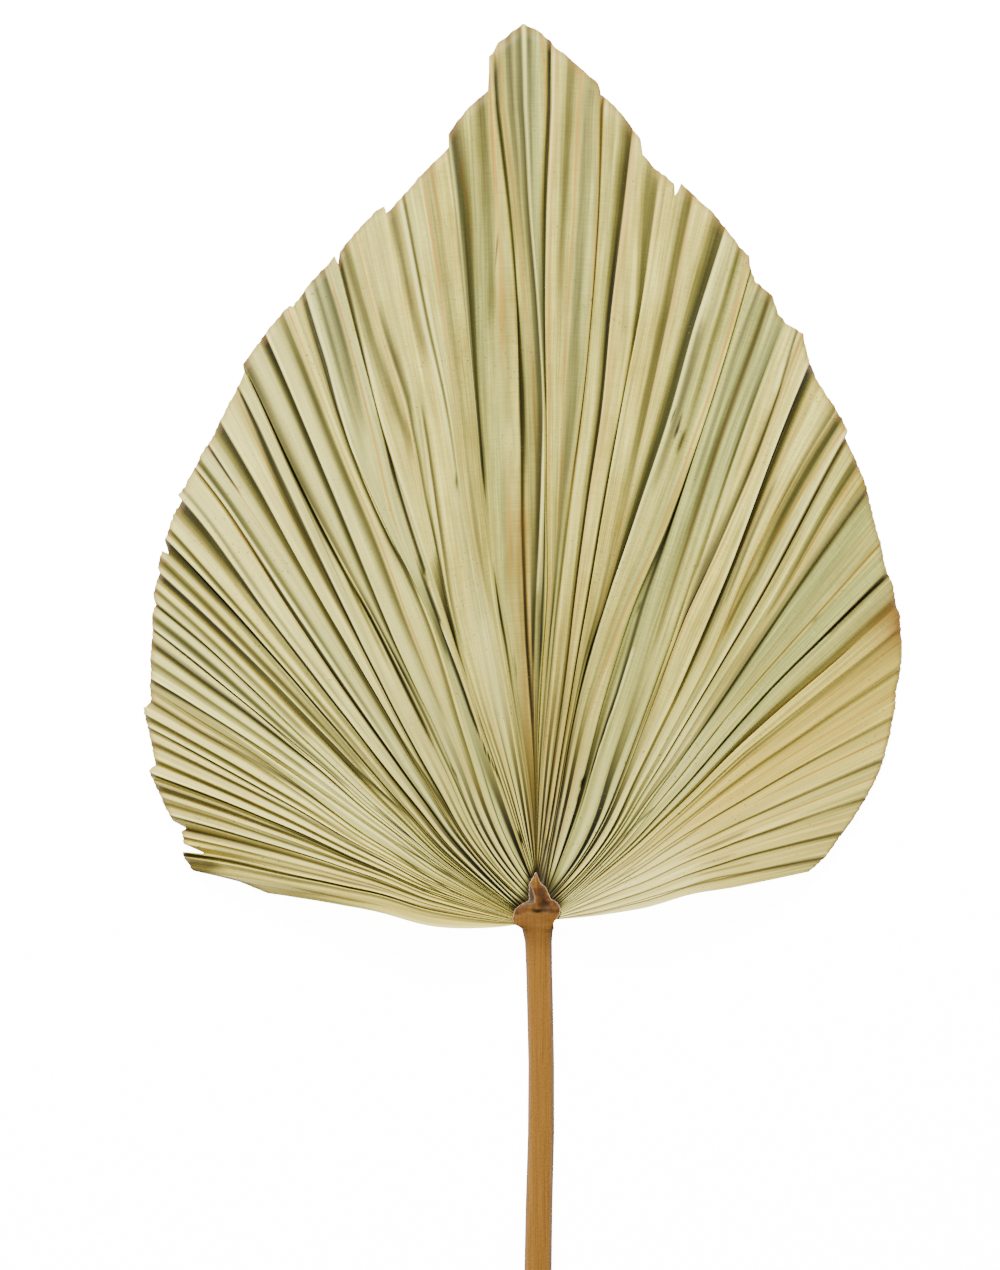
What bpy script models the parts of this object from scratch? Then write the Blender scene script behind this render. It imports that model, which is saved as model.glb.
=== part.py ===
"""A dried fan palm leaf: a pleated fan trimmed to a spade outline, on a cut leaf stalk, lying face up.

Angles are in degrees from the leaf's tip direction (+Y), positive towards +X. Lengths are in millimetres
and become metres when the meshes are made. The fan's own middle is the middle of the stalk's head.
"""
import math

import bmesh
import bpy
import numpy as np

MM = 0.001

# Leaf blade
BLADE_THICKNESS = 0.7
BLADE_ROWS = 14
NECK_GAP = 0.5           # clearance between the blade's inner edge and the stalk's head
NECK_REACH = 4.0         # how far from the head's shoulders the pleats begin
BASE_HEIGHT = 7.2        # upper face of the blade where the pleats begin
CROWN = 9.0              # how much the fan arches between its base and its rim
BASE_RELIEF = 0.12       # share of a pleat's full height that is left at its base
RELIEF_POWER = 0.8       # how the pleats gain height towards the rim
STEEPEST = 0.42          # least upward part of a face's normal when the wall is thickened
RIM_TOOTH = 0.7          # how far a pleat's ridge stands out of the trimmed rim, and its valley back
EDGE_BOW = 2.4           # sag of the fan's two lowest edges towards the stalk
EDGE_BOW_WIDTH = 5.0     # degrees over which that sag dies out

# Pleats: where the sheet starts to climb or drop, where that ends, and by how much at the rim.
# Left of the tip the steep side of a pleat climbs, right of it the steep side drops.
PLEATS = [
    (-82.9, -82.0, 1.6), (-81.4, -81.0, 1.8), (-79.3, -78.6, 0.8), (-77.9, -77.0, 2.2),
    (-76.1, -75.7, 1.2), (-74.7, -74.1, 0.8), (-73.4, -72.6, 1.8), (-72.1, -71.7, 1.4),
    (-70.0, -69.3, 2.2), (-68.0, -67.3, 0.9), (-65.5, -65.0, 1.2), (-64.2, -63.6, 1.4),
    (-62.8, -62.0, 1.4), (-60.8, -59.4, 3.2), (-57.8, -57.0, 0.8), (-56.1, -55.3, 1.8),
    (-53.6, -52.6, 0.9), (-49.5, -48.5, 3.2), (-47.7, -46.9, 1.6), (-46.5, -45.2, 3.0),
    (-42.8, -41.1, 4.0), (-38.3, -37.5, 1.6), (-34.4, -33.1, 3.0), (-31.0, -30.0, 2.6),
    (-29.0, -28.3, 2.4), (-26.0, -25.3, 1.6), (-24.0, -23.3, 0.8), (-21.9, -20.6, 2.6),
    (-17.3, -16.7, 3.4), (-15.5, -15.0, 0.8), (-12.3, -11.2, 2.2), (-9.0, -8.1, 1.4),
    (-6.9, -5.7, 3.6), (-3.4, -2.4, 3.2), (0.4, 1.2, -2.8), (2.1, 3.0, -1.2),
    (4.3, 4.8, -1.8), (6.2, 7.0, -2.6), (8.0, 8.6, -1.8), (11.5, 12.5, -1.4),
    (14.0, 15.5, -2.6), (19.3, 20.0, -1.6), (24.2, 24.7, -1.2), (26.4, 27.2, -2.8),
    (30.0, 30.8, -1.0), (31.4, 32.3, -1.8), (38.3, 39.0, -1.2), (43.0, 43.7, -0.8),
    (46.2, 46.9, -1.4), (49.2, 50.2, -1.4), (53.2, 54.2, -0.8), (59.5, 62.1, -1.1),
    (64.5, 67.1, -1.1), (69.4, 71.7, -1.1), (74.0, 76.4, -1.1), (78.2, 80.1, -0.9),
]
FIRST_ANGLE = -86.7
LAST_ANGLE = 82.3
WIDE_PANEL = 2.6         # degrees: a flatter panel between two pleats gets a middle line of its own
PANEL_CROWN = 0.25

# Trimmed rim: angle and distance from the fan's middle
RIM = [
    (-86.7, 108.0), (-84.0, 138.8), (-82.0, 143.2), (-78.0, 146.0), (-75.0, 154.4), (-70.0, 164.5),
    (-65.0, 172.8), (-60.0, 178.8), (-55.0, 188.4), (-50.0, 200.0), (-45.0, 210.4), (-40.0, 220.0),
    (-35.0, 228.0), (-30.0, 240.0), (-25.0, 256.0), (-20.0, 266.0), (-15.0, 280.0), (-10.0, 294.8),
    (-7.4, 303.6), (-5.8, 317.0), (-3.3, 329.0), (-3.2, 342.0), (-1.0, 354.4), (2.0, 342.0),
    (4.0, 332.0), (7.0, 315.0), (10.0, 298.0), (14.0, 288.0), (18.0, 274.0), (22.0, 257.0),
    (26.3, 244.0), (30.0, 234.8), (35.0, 220.8), (40.0, 208.4), (46.0, 194.4), (51.0, 187.2),
    (57.0, 174.0), (62.0, 161.6), (67.0, 150.8), (73.0, 135.6), (78.5, 122.0), (82.3, 110.0),
]

# Where the pleats aim, round the stalk's head: angle, then the point's x and y
AIM = [
    (-87.0, -9.0, -8.0), (-70.0, -8.8, -7.6), (-34.0, -8.2, -7.6), (-30.0, -7.4, -1.0),
    (-23.0, -6.6, 0.5), (-20.0, -4.0, 6.0), (-17.0, -1.6, 12.0), (-9.0, -0.6, 13.0),
    (7.0, 0.6, 13.0), (9.5, 2.2, 11.5), (12.0, 3.4, 8.0), (15.5, 4.0, 6.0), (19.5, 5.0, 2.0),
    (22.0, 9.6, 0.0), (33.0, 10.5, -1.8), (44.0, 9.6, -3.0), (60.0, 7.6, -3.5), (83.0, 7.4, -5.0),
]

# Height of the rim over the surface that the leaf lies on
RIM_HEIGHT = [
    (-86.7, 3.4), (-74.0, 1.6), (-62.0, 1.0), (-45.0, 4.4), (-30.0, 7.0), (-15.0, 6.0), (-2.0, 1.6),
    (12.0, 5.0), (30.0, 7.4), (45.0, 4.4), (58.0, 1.0), (70.0, 1.6), (82.3, 3.4),
]

# Stalk and its head: distance along the leaf, left and right half widths, underside, top
STALK_END = -247.0
STALK_STATIONS = [
    (STALK_END, 5.5, 5.5, 0.0, 7.4), (-240.0, 5.6, 5.6, 0.0, 7.6), (-180.0, 5.4, 5.4, 0.0, 7.5),
    (-120.0, 5.5, 5.5, 0.0, 7.4), (-62.0, 5.3, 5.3, 0.0, 7.4), (-34.0, 5.4, 5.4, 0.0, 7.6),
    (-16.0, 5.6, 6.2, 0.2, 8.2), (-10.5, 6.6, 7.0, 0.5, 8.8), (-8.8, 8.0, 7.4, 0.8, 9.0),
]
STALK_SHIFT = [(STALK_END, 0.6), (-120.0, 2.0), (-62.0, 1.6), (-20.0, 0.8), (-8.0, 0.0), (20.0, 0.0)]
STALK_SIDES = 16
STALK_FLAT = 0.6         # what lies nearer the middle than this share of the width is flat below
UPPER_WIDTH_POWER = 0.8
LOWER_WIDTH_POWER = 0.5
SECTION_HEIGHT_POWER = 0.7
HEAD_STATIONS = 16
OUTLINE_POINTS = 240     # points read along the head's outline
HEAD_UNDERSIDE = 1.0
HEAD_TOP = 9.4
KEEL_HEIGHT = 1.3        # the head's middle ridge over its edges
KEEL_SHARPNESS = 2.2
KEEL_FADE = 4            # how fast the ridge dies out down the thinner stalk
TIP_TAPER = 0.35         # how much thinner the head is at its tip


def lookup(table, angles, column=1):
    """Straight-line reading of one column of a table against its first."""
    rows = np.array(table)
    return np.interp(angles, rows[:, 0], rows[:, column])


def pleat_lines():
    """Angle and height of every line of the fan: both ends of each pleat, and wide panels' middles."""
    angles = [FIRST_ANGLE]
    heights = [0.5]
    for start, end, climb in PLEATS:
        if start - angles[-1] > WIDE_PANEL:
            angles.append((angles[-1] + start) / 2)
            heights.append((heights[-1] - climb / 2) / 2 + PANEL_CROWN)
        angles += [start, end]
        heights += [-climb / 2, climb / 2]
    angles.append(LAST_ANGLE)
    heights.append(0.2)
    return np.array(angles), np.array(heights)


def aim_points(angles):
    """The point near the stalk's head that each line of the fan points at."""
    return np.stack([lookup(AIM, angles, 1), lookup(AIM, angles, 2)], axis=-1)


def rim_points(angles, heights):
    """Where each line meets the trimmed rim. Ridges stand a little further out than valleys."""
    reach = lookup(RIM, angles) + RIM_TOOTH * np.sign(heights)
    turn = np.radians(angles)
    return np.stack([reach * np.sin(turn), reach * np.cos(turn)], axis=-1)


def neck_points(angles):
    """Where each line begins: NECK_REACH from its aim, on the way to the rim."""
    aim = aim_points(angles)
    away = rim_points(angles, np.zeros(len(angles))) - aim
    return aim + away * NECK_REACH / np.linalg.norm(away, axis=1)[:, None]


def blade_surface():
    """Upper face of the fan as an array of rows, from neck to rim, of points along the pleat lines.

    Along a line, s runs from 0 at the neck to 1 at the rim. Height is a straight fall from the neck
    to the rim plus an arch of 4s(1-s), plus the line's own pleat height, which grows with s.
    """
    angles, heights = pleat_lines()
    neck = neck_points(angles)
    rim = rim_points(angles, heights)
    s = np.linspace(0.0, 1.0, BLADE_ROWS + 1)[:, None]
    plan = neck[None] + (rim - neck)[None] * s[..., None]
    edge_distance = np.minimum(angles - FIRST_ANGLE, LAST_ANGLE - angles)
    bow = EDGE_BOW * np.exp(-edge_distance / EDGE_BOW_WIDTH)
    plan[..., 1] -= bow * np.sin(math.pi * s) * (1 - s)
    arch = BASE_HEIGHT * (1 - s) + lookup(RIM_HEIGHT, angles) * s + CROWN * 4 * s * (1 - s)
    relief = BASE_RELIEF + (1 - BASE_RELIEF) * s ** RELIEF_POWER
    z = arch + heights * relief
    return np.concatenate([plan, z[..., None]], axis=-1)


def make_blade():
    """Warp a flat grid onto the pleated surface, triangulate it and give it thickness straight down.

    The lower face repeats the upper face's triangles, so the two can't cross. The wall is thicker
    where it is steep. Nothing reaches below the surface that the leaf lies on: low pleats lie flat on it.
    """
    points = blade_surface()
    rows, columns = points.shape[:2]
    bm = bmesh.new()
    bmesh.ops.create_grid(bm, x_segments=columns - 1, y_segments=rows - 1, size=1.0)
    for vert in bm.verts:
        column = round((vert.co.x + 1) / 2 * (columns - 1))
        row = round((vert.co.y + 1) / 2 * (rows - 1))
        vert.co = points[row, column] * MM
    bmesh.ops.triangulate(bm, faces=bm.faces[:])
    bm.normal_update()
    for face in bm.faces:
        if face.normal.z < 0:
            face.normal_flip()
    sheet = bm.verts[:]
    depth = {}
    for vert in sheet:
        upward = min(face.normal.z for face in vert.link_faces)
        depth[vert] = BLADE_THICKNESS * MM / max(upward, STEEPEST)
        vert.co.z = max(vert.co.z, depth[vert])
    bmesh.ops.extrude_face_region(bm, geom=bm.faces[:])
    for vert in sheet:
        vert.co.z -= depth[vert]
    bmesh.ops.triangulate(bm, faces=bm.faces[:])
    bmesh.ops.recalc_face_normals(bm, faces=bm.faces[:])
    return finish_object("blade", bm, (0.60, 0.58, 0.36, 1.0), 0.62)


def head_stations():
    """Sections of the stalk's head: its outline is the blade's inner edge, set back by the gap."""
    angles = np.linspace(FIRST_ANGLE, LAST_ANGLE, OUTLINE_POINTS)
    edge = neck_points(angles)
    along = np.gradient(edge, axis=0)
    inward = np.stack([along[:, 1], -along[:, 0]], axis=-1)
    outline = edge + inward * NECK_GAP / np.linalg.norm(inward, axis=1)[:, None]
    tip = outline[:, 1].argmax()
    left = outline[:tip + 1]
    right = outline[tip:][::-1]
    shoulder = max(left[0, 1], right[0, 1])
    stations = []
    for share in np.linspace(0.0, 0.97, HEAD_STATIONS):
        y = shoulder + (outline[tip, 1] - shoulder) * math.sin(share * math.pi / 2)
        half_left = -np.interp(y, np.maximum.accumulate(left[:, 1]), left[:, 0])
        half_right = np.interp(y, np.maximum.accumulate(right[:, 1]), right[:, 0])
        thin = 1 - TIP_TAPER * share
        middle = (HEAD_UNDERSIDE + HEAD_TOP) / 2
        half = (HEAD_TOP - HEAD_UNDERSIDE) / 2 * thin
        stations.append((y, half_left, half_right, middle - half, middle + half))
    return stations


def stalk_section(y, left, right, low, high):
    """One closed ring: flat below, full at the sides and keeled on top.

    The ring's angle t starts at the right. Width follows cos t, and the height follows sin t, cut off
    by the flat below. The top is lifted by a narrow keel at the middle.
    """
    ring = []
    shift = float(lookup(STALK_SHIFT, y))
    middle = (low + high) / 2
    for side in range(STALK_SIDES):
        t = 2 * math.pi * (side + 0.5) / STALK_SIDES
        upper = math.sin(t) > 0
        across = math.copysign(abs(math.cos(t)) ** (UPPER_WIDTH_POWER if upper else LOWER_WIDTH_POWER), math.cos(t))
        up = math.copysign(abs(math.sin(t)) ** SECTION_HEIGHT_POWER, math.sin(t))
        x = across * (right if across > 0 else left)
        z = middle + up * (high - low) / 2
        if not upper and abs(across) < STALK_FLAT:
            z = low
        if upper:
            z += KEEL_HEIGHT * max(0.0, 1 - KEEL_SHARPNESS * abs(across)) * (high / HEAD_TOP) ** KEEL_FADE
        ring.append((x + shift, y, z))
    return ring


def make_petiole():
    """Join the stalk's and the head's sections into one closed body."""
    bm = bmesh.new()
    rings = []
    for station in STALK_STATIONS + head_stations():
        rings.append([bm.verts.new([value * MM for value in point]) for point in stalk_section(*station)])
    for first, second in zip(rings, rings[1:]):
        for side in range(STALK_SIDES):
            after = (side + 1) % STALK_SIDES
            bm.faces.new((first[side], first[after], second[after], second[side]))
    bm.faces.new(rings[0])
    bm.faces.new(rings[-1])
    bmesh.ops.triangulate(bm, faces=bm.faces[:])
    bmesh.ops.recalc_face_normals(bm, faces=bm.faces[:])
    return finish_object("petiole", bm, (0.36, 0.19, 0.06, 1.0), 0.55)


def finish_object(name, bm, colour, roughness):
    """Turn a bmesh into a named object with its own material, in the leaf's collection."""
    mesh = bpy.data.meshes.new(name)
    bm.to_mesh(mesh)
    bm.free()
    obj = bpy.data.objects.new(name, mesh)
    bpy.data.collections["fan_palm_leaf"].objects.link(obj)
    material = bpy.data.materials.new(name)
    material.use_nodes = True
    shader = material.node_tree.nodes["Principled BSDF"]
    shader.inputs["Base Color"].default_value = colour
    shader.inputs["Roughness"].default_value = roughness
    shader.inputs["Metallic"].default_value = 0.0
    mesh.materials.append(material)
    return obj


def centre_on_origin(objects):
    """Slide the leaf over the surface until the origin is under the middle of its box."""
    corners = np.array([vert.co[:] for obj in objects for vert in obj.data.vertices])
    middle = (corners.min(axis=0) + corners.max(axis=0)) / 2
    for obj in objects:
        obj.location = (-middle[0], -middle[1], 0.0)


def main():
    for obj in list(bpy.data.objects):
        bpy.data.objects.remove(obj, do_unlink=True)
    collection = bpy.data.collections.new("fan_palm_leaf")
    bpy.context.scene.collection.children.link(collection)
    centre_on_origin([make_blade(), make_petiole()])


main()
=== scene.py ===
"""A dried fan palm leaf, trimmed to a spade outline, lying face up on a pale floor and seen from above."""
import math
from functools import reduce

import bpy
import numpy as np
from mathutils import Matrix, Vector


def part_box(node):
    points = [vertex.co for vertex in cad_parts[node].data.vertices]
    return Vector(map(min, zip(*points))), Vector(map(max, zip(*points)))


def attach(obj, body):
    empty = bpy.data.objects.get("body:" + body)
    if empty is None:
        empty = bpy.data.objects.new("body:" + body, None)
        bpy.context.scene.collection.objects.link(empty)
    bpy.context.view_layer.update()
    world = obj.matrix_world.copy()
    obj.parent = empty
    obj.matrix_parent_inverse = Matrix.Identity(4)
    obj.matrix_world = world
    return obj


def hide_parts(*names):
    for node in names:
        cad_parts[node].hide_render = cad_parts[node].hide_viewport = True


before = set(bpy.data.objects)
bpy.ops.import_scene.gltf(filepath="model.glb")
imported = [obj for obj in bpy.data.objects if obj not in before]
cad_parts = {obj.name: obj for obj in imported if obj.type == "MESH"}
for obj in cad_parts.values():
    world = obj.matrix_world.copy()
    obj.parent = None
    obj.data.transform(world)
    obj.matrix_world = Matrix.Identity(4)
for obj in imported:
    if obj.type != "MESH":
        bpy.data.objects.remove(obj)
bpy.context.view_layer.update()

# The pleated fan
# A palm's fan is one sheet that grew folded like a paper fan and has been cut to shape with shears.
# It is thin, stiff and dry. It is built as three sheets that lap over each other at two deep splits.
MM = 0.001
STALK_LENGTH = 247.0            # from the stalk's cut end to the fan's middle
HEAD_LEFT = 9.7                 # from the head's left edge to the fan's middle
stalk_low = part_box("petiole")[0]
FAN_MIDDLE = np.array([stalk_low[0] / MM + HEAD_LEFT, stalk_low[1] / MM + STALK_LENGTH, 0.0])

LEAF_THICKNESS = 0.42
BASE_HEIGHT = 7.2               # of the blade at the neck
CROWN = 9.0                     # of the arch above the straight fall from neck to rim
BASE_RELIEF = 0.16              # what is left of the pleats' height at the neck
RELIEF_POWER = 0.8
STEEPEST = 0.35                 # least upward part of a normal for which the thickness is kept
TROUGH_POWER = 1.5              # crests are sharp and troughs are round
COLUMN_STEP = 0.15              # degrees between grid lines where nothing else sets them
CLOSEST = 0.045                 # degrees
ROW_COUNT = 80

# Start and end angle of each pleat's steep side, in degrees from the tip, and its height in mm at the rim.
# Left of the tip the steep side climbs, right of it it drops.
PLEATS = [
    (-82.9, -82, 1.2), (-81.6, -81.1, 1.8), (-79.3, -78.6, 0.8), (-77.7, -75.9, 2), (-74.5, -73.6, 1.2),
    (-72.6, -72.1, 1.8), (-71.6, -70.9, 2), (-69.5, -68.7, 1.8), (-67.1, -66.4, 1.2), (-65.5, -65, 1.2),
    (-64.4, -63.6, 1.6), (-62.5, -61.6, 1.4), (-60.9, -59.4, 3.2), (-58.3, -57.3, 0.8), (-56.3, -55.4, 1.8),
    (-54.4, -54, 0.9), (-53.5, -52.5, 0.8), (-51.7, -51.2, 1.2), (-50.4, -49.9, 0.5), (-49.5, -48.5, 3.2),
    (-47.9, -46.9, 1.6), (-46.5, -45.2, 3), (-44.8, -44.1, 0.8), (-42.8, -41.1, 4), (-38.4, -37.9, 1.8),
    (-37.4, -36.9, 0.6), (-34.4, -33.1, 2.8), (-31.1, -30, 2.6), (-28.85, -28.6, -3.4), (-26.2, -25.3, 1.8),
    (-24.1, -23.1, 1.2), (-22.1, -20.7, 2.8), (-17.2, -17, 3), (-16.3, -15.2, 0.9), (-12.4, -12.2, 1),
    (-11.9, -11.2, 0.6), (-10.8, -10.6, 0.7), (-8.5, -7.8, 0.9), (-6.9, -4.9, 3.6), (-3.05, -2.4, 3.2),
    (-1.2, -0.9, 0.8), (0.4, 1.1, -2.6), (2.1, 3, -1), (4.3, 4.65, -1.8), (6, 7, -2.4), (7.8, 9.6, -1.8),
    (11.6, 12.5, -1.2), (14, 15.5, -2.4), (16.8, 17.3, -0.7), (18.4, 19.15, -2.2), (20.2, 20.8, -1),
    (22.7, 23.1, -0.9), (24.2, 24.5, -1), (26.3, 27.6, -2.6), (30.9, 32.3, -1.7), (33, 33.35, -1),
    (35, 36.1, -1), (38.2, 38.8, -1.1), (43.2, 43.5, -0.5), (46.2, 46.7, -1.4), (49, 50.2, -1.5),
    (52.3, 52.65, -0.7), (56.4, 56.9, -0.7), (61.6, 62.1, -0.7), (66.6, 67.1, -0.8), (71.2, 71.8, -0.8),
    (75.9, 76.5, -0.8), (79.6, 80.1, -0.7),
]
FIRST_ANGLE = -86.7
LAST_ANGLE = 82.3

# The trimmed rim, cut across the pleats: angle and distance from the fan's middle
RIM = [
    (-86.7, 108), (-85, 120), (-84, 138.8), (-83, 140.8), (-82, 143.2), (-81.1, 144), (-80.8, 134),
    (-79.8, 144), (-78, 145.6), (-77.2, 144), (-76.7, 149.6), (-75, 154.4), (-73, 158.8), (-71.7, 162.4),
    (-70.6, 165.2), (-69.5, 163.2), (-68, 166), (-66, 170), (-64, 174.8), (-63, 176.8), (-61.7, 175.6),
    (-60, 178.8), (-58, 182.8), (-56, 186.4), (-54, 190.4), (-53, 193.6), (-51.5, 195.2), (-51, 198),
    (-50, 200), (-48.4, 202), (-48.2, 204), (-46.5, 207.6), (-46.2, 204.8), (-45.4, 209.6), (-44, 212.4),
    (-43, 214.4), (-41.2, 216.4), (-41.1, 219.2), (-40, 220), (-38, 223.2), (-36, 226.8), (-35, 228),
    (-33.3, 232), (-32, 235.2), (-30.2, 239.6), (-28.7, 244), (-28.5, 247.2), (-26, 252.8), (-24, 257.6),
    (-22.5, 260.8), (-22, 260), (-20.7, 263.2), (-20, 266), (-18, 270.8), (-17.2, 273.6), (-17.1, 270),
    (-16.7, 274.4), (-15, 280), (-13, 286.8), (-12.3, 287.6), (-12.25, 284.8), (-10.6, 290.8), (-9, 297.6),
    (-8, 301.2), (-7.4, 303.6), (-6.6, 307.2), (-6.55, 312), (-5.8, 316.8), (-4.8, 322.4), (-4, 325.6),
    (-3.3, 329), (-3.2, 342), (-2.5, 346.4), (-1.7, 350.8), (-1, 354.4), (0, 352), (1, 347.6), (1.3, 345.2),
    (2, 342), (3, 337.2), (4, 332), (4.2, 330.4), (4.3, 326.8), (5, 324.8), (6, 320), (7, 314.8),
    (7.6, 310.8), (7.8, 304.8), (9, 300), (10, 297.6), (10.8, 295.2), (11.1, 288.8), (11.2, 296), (12, 294),
    (13, 290.4), (14, 288), (15, 284.4), (15.6, 282.4), (17, 277.2), (18, 274.8), (18.3, 270.8),
    (19.3, 265.6), (20.9, 262.8), (22, 256.8), (23, 254.4), (24.5, 253.6), (25, 250), (26.3, 244),
    (28, 239.2), (30, 234.8), (32, 230.8), (33, 228), (33.1, 224.8), (35, 220.8), (38, 214.4), (40, 208.4),
    (42, 203.6), (44, 199.2), (46, 194.4), (48, 192.4), (49.6, 188.8), (51, 187.2), (53, 182.8),
    (55, 178.8), (57, 174), (59, 168.4), (61, 164.4), (62.2, 161.6), (64, 157.6), (66, 153.2), (69, 146.4),
    (73, 135.6), (77, 124.8), (80, 118), (82.3, 110),
]
# How the pleats run. Each row is a line of the fan: its angle at the rim, then its angle at each distance.
# A row that stops early has come to its rim angle.
PATH_DISTANCES = (40, 60, 80, 100, 120, 160, 200, 240, 280, 320)
PATHS = [
    (-86.7, -100.6, -92.2, -89, -87.4), (-81.1, -91, -84.9, -82.9, -82, -81.3),
    (-75.9, -86, -80.2, -77.9, -76.7, -76.2), (-70.9, -81.5, -76.6, -74.1, -72.3, -71.4),
    (-65, -77.5, -72.4, -69.8, -67.7, -66.6, -65.3), (-60.2, -74, -69, -66.3, -63.5, -61.8, -60.8),
    (-59.4, -71, -65.6, -62.7, -61.2, -60.1), (-55.7, -68, -62.5, -59.8, -57.6, -56.7, -56),
    (-51.2, -65.2, -60, -57.2, -55, -53.6, -51.8), (-48.4, -62.3, -57, -54, -51.8, -50.5, -48.9),
    (-45.2, -59.4, -54, -51, -48.9, -47.5, -45.8), (-41.1, -55.5, -50.1, -47.3, -45.5, -44.3, -42.6),
    (-38, -51.7, -46.8, -44, -42.3, -41.1, -39.4), (-35.8, -49.6, -44.6, -41.6, -39.6, -38.2, -36.4),
    (-33.1, -47.6, -42.4, -39.4, -37.3, -36.1, -34.6, -33.6),
    (-30, -45.6, -40.3, -37.5, -35.6, -34.1, -32, -31),
    (-28.7, -44.3, -39.2, -36.3, -34.4, -32.7, -30.6, -29.4),
    (-28.4, -38.5, -33.5, -31.2, -30.1, -29.6, -29.3, -29),
    (-25.3, -36, -31.5, -29.6, -28.8, -28.2, -26.8, -25.9, -25.4),
    (-22.8, -30, -26.6, -25.4, -24.6, -24.1, -23.2, -23.1),
    (-20.7, -25, -23, -21.8, -20.6, -20.2, -21.5, -22, -21.3),
    (-18.1, -23, -21.3, -20.5, -19.9, -19.7, -20.5, -19.2, -18.3),
    (-17.2, -17.6, -18, -18.1, -18.4, -18.8, -18.8, -18, -17.6),
    (-17, -15.3, -16.4, -17, -17.1, -17.2, -17.6, -17.9, -17.4),
    (-15.1, -14.6, -15.8, -16.5, -16.8, -16.8, -16, -14.9, -15.2),
    (-12.3, -13.4, -14.8, -15.8, -16.2, -16.3, -14.8, -13.2, -12.7),
    (-10.7, -9.8, -11, -11.6, -11.5, -11.2, -10.6, -10.1, -10.5, -10.6),
    (-9, -8, -8.5, -8.9, -9.3, -9.7, -9.8, -9.2, -8.9, -8.9),
    (-6.9, -5.2, -6.2, -6.9, -7.5, -7.9, -7.6, -7.1, -6.9, -6.8),
    (-4.9, -3.5, -5, -6.1, -6.8, -7.3, -7.2, -6.6, -5.8, -5.2),
    (-3.25, -2.4, -3.6, -4.6, -5.3, -5.8, -5, -4.3, -3.8, -3.4, -3.3),
    (-3, -1.4, -2.2, -2.9, -3.2, -3.3, -2.9, -2.3, -2, -2.4),
    (-2.4, -0.8, -1, -1.2, -1.2, -1.2, -1.2, -1.4, -1.7, -2.1, -2.6),
    (-1, -0.4, -0.2, 0, 0.5, 0.9, 1, 0.8, 0.1, -0.6, -0.9),
    (1.2, 0.1, 0.4, 0.9, 1.5, 2, 1.5, 1.15, 0.95, 0.9, 1.1),
    (3.05, 0.6, 1.2, 2, 2.7, 3.2, 3.1, 2.9, 2.85, 3, 3),
    (4.3, 1.6, 2.3, 3, 3.4, 3.7, 4.3, 5.1, 5.2, 5, 4.5),
    (4.7, 3.4, 4, 4.5, 4.9, 5.1, 5.25, 5.35, 5.35, 5.15, 4.8),
    (7.05, 5.9, 6.5, 7, 7.1, 7, 7.15, 7.5, 7.15, 7.1), (7.8, 8.2, 8.5, 8.8, 8.9, 9, 9.1, 9.4, 9.4, 8.4),
    (9.7, 8.9, 8.95, 9.2, 9.35, 9.5, 9.45, 9.55, 9.8),
    (12.6, 11.3, 10.8, 10.8, 11.2, 12.1, 12.5, 12.65, 12.7, 12.55),
    (15.6, 12, 11.3, 11.1, 11.5, 12.5, 14.1, 15, 15.2),
    (18, 16.5, 15.2, 14.8, 15.5, 16.3, 18.1, 18.5, 18.5), (18.4, 21, 19, 17.8, 17.5, 17.5, 18.8, 19, 18.8),
    (19.2, 26, 23, 21.4, 20.6, 20.1, 19.5, 19.2, 19), (20.8, 34, 28.5, 26, 24.6, 23.5, 22.2, 21.4, 21.2),
    (23.1, 38, 33.2, 30.1, 28.1, 26.7, 24.8, 23.7, 23.2), (24.5, 39, 34.2, 31, 29, 27.4, 26.9, 26.3, 25.2),
    (26.3, 44, 38, 35, 33.2, 31.6, 29.4, 27.6, 26.6), (28.1, 45, 39, 35.8, 33.9, 32.3, 29.9, 28.7),
    (31.3, 46.6, 41.2, 38.4, 36.4, 34.8, 32, 31.1), (33.2, 48.3, 43, 40.2, 38.4, 37.2, 35.4, 33.9),
    (36.2, 51, 45.6, 42.9, 41, 39.8, 38.1, 36.6), (38.7, 52.4, 47, 44.4, 42.6, 41.2, 39.4, 38.8),
    (43.4, 54.4, 49.6, 47, 45.3, 44.4, 43.7), (46.4, 56.9, 52.5, 50, 48.1, 47, 46.5),
    (50.2, 59.2, 55.2, 52.9, 51.4, 50.7, 50.4), (53.8, 62.4, 58.4, 56, 54.6, 54.2, 53.9),
    (59.1, 66, 62.2, 60.4, 59.6, 59.3), (64.1, 69.6, 66, 64.7, 64.3), (69, 74.2, 70.6, 69.4),
    (76.4, 82.4, 77.9, 76.6, 76.3, 76.3), (82.3, 90.5, 85.3, 83.9, 82.9),
]
PATH_ROWS = np.array([row + row[:1] * (len(PATH_DISTANCES) + 1 - len(row)) for row in PATHS])
# Where the pleats leave the shield's edge: angle at the rim, then the point's x and y
NECK = [
    (-87, -8, -6.8), (-75, -8.8, -5.2), (-62, -8.8, -3.4), (-50, -8.6, -1.4), (-40, -7.6, 0), (-34, -6, 1),
    (-29, -3.2, 2.2), (-25, -2.6, 5), (-20, -2.5, 9), (-15, -1.4, 12.4), (-6, -0.7, 13.6), (2, -0.4, 13.6),
    (8, 0.4, 12), (12, 1.4, 9.6), (16, 3.2, 7.4), (20, 4.2, 4.8), (26, 5.4, 3), (33, 7, 2), (44, 8.6, 0.4),
    (60, 8.8, -1.8), (83, 6.6, -5),
]
# Level of the rim, without the pleats: angle and height
RIM_HEIGHT = [
    (-86.7, 3.4), (-74, 1.6), (-62, 1), (-45, 4.4), (-30, 7), (-15, 6), (-2, 1.6), (12, 5), (30, 7.4),
    (45, 4.4), (58, 1), (70, 1.6), (82.3, 3.4),
]
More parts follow.
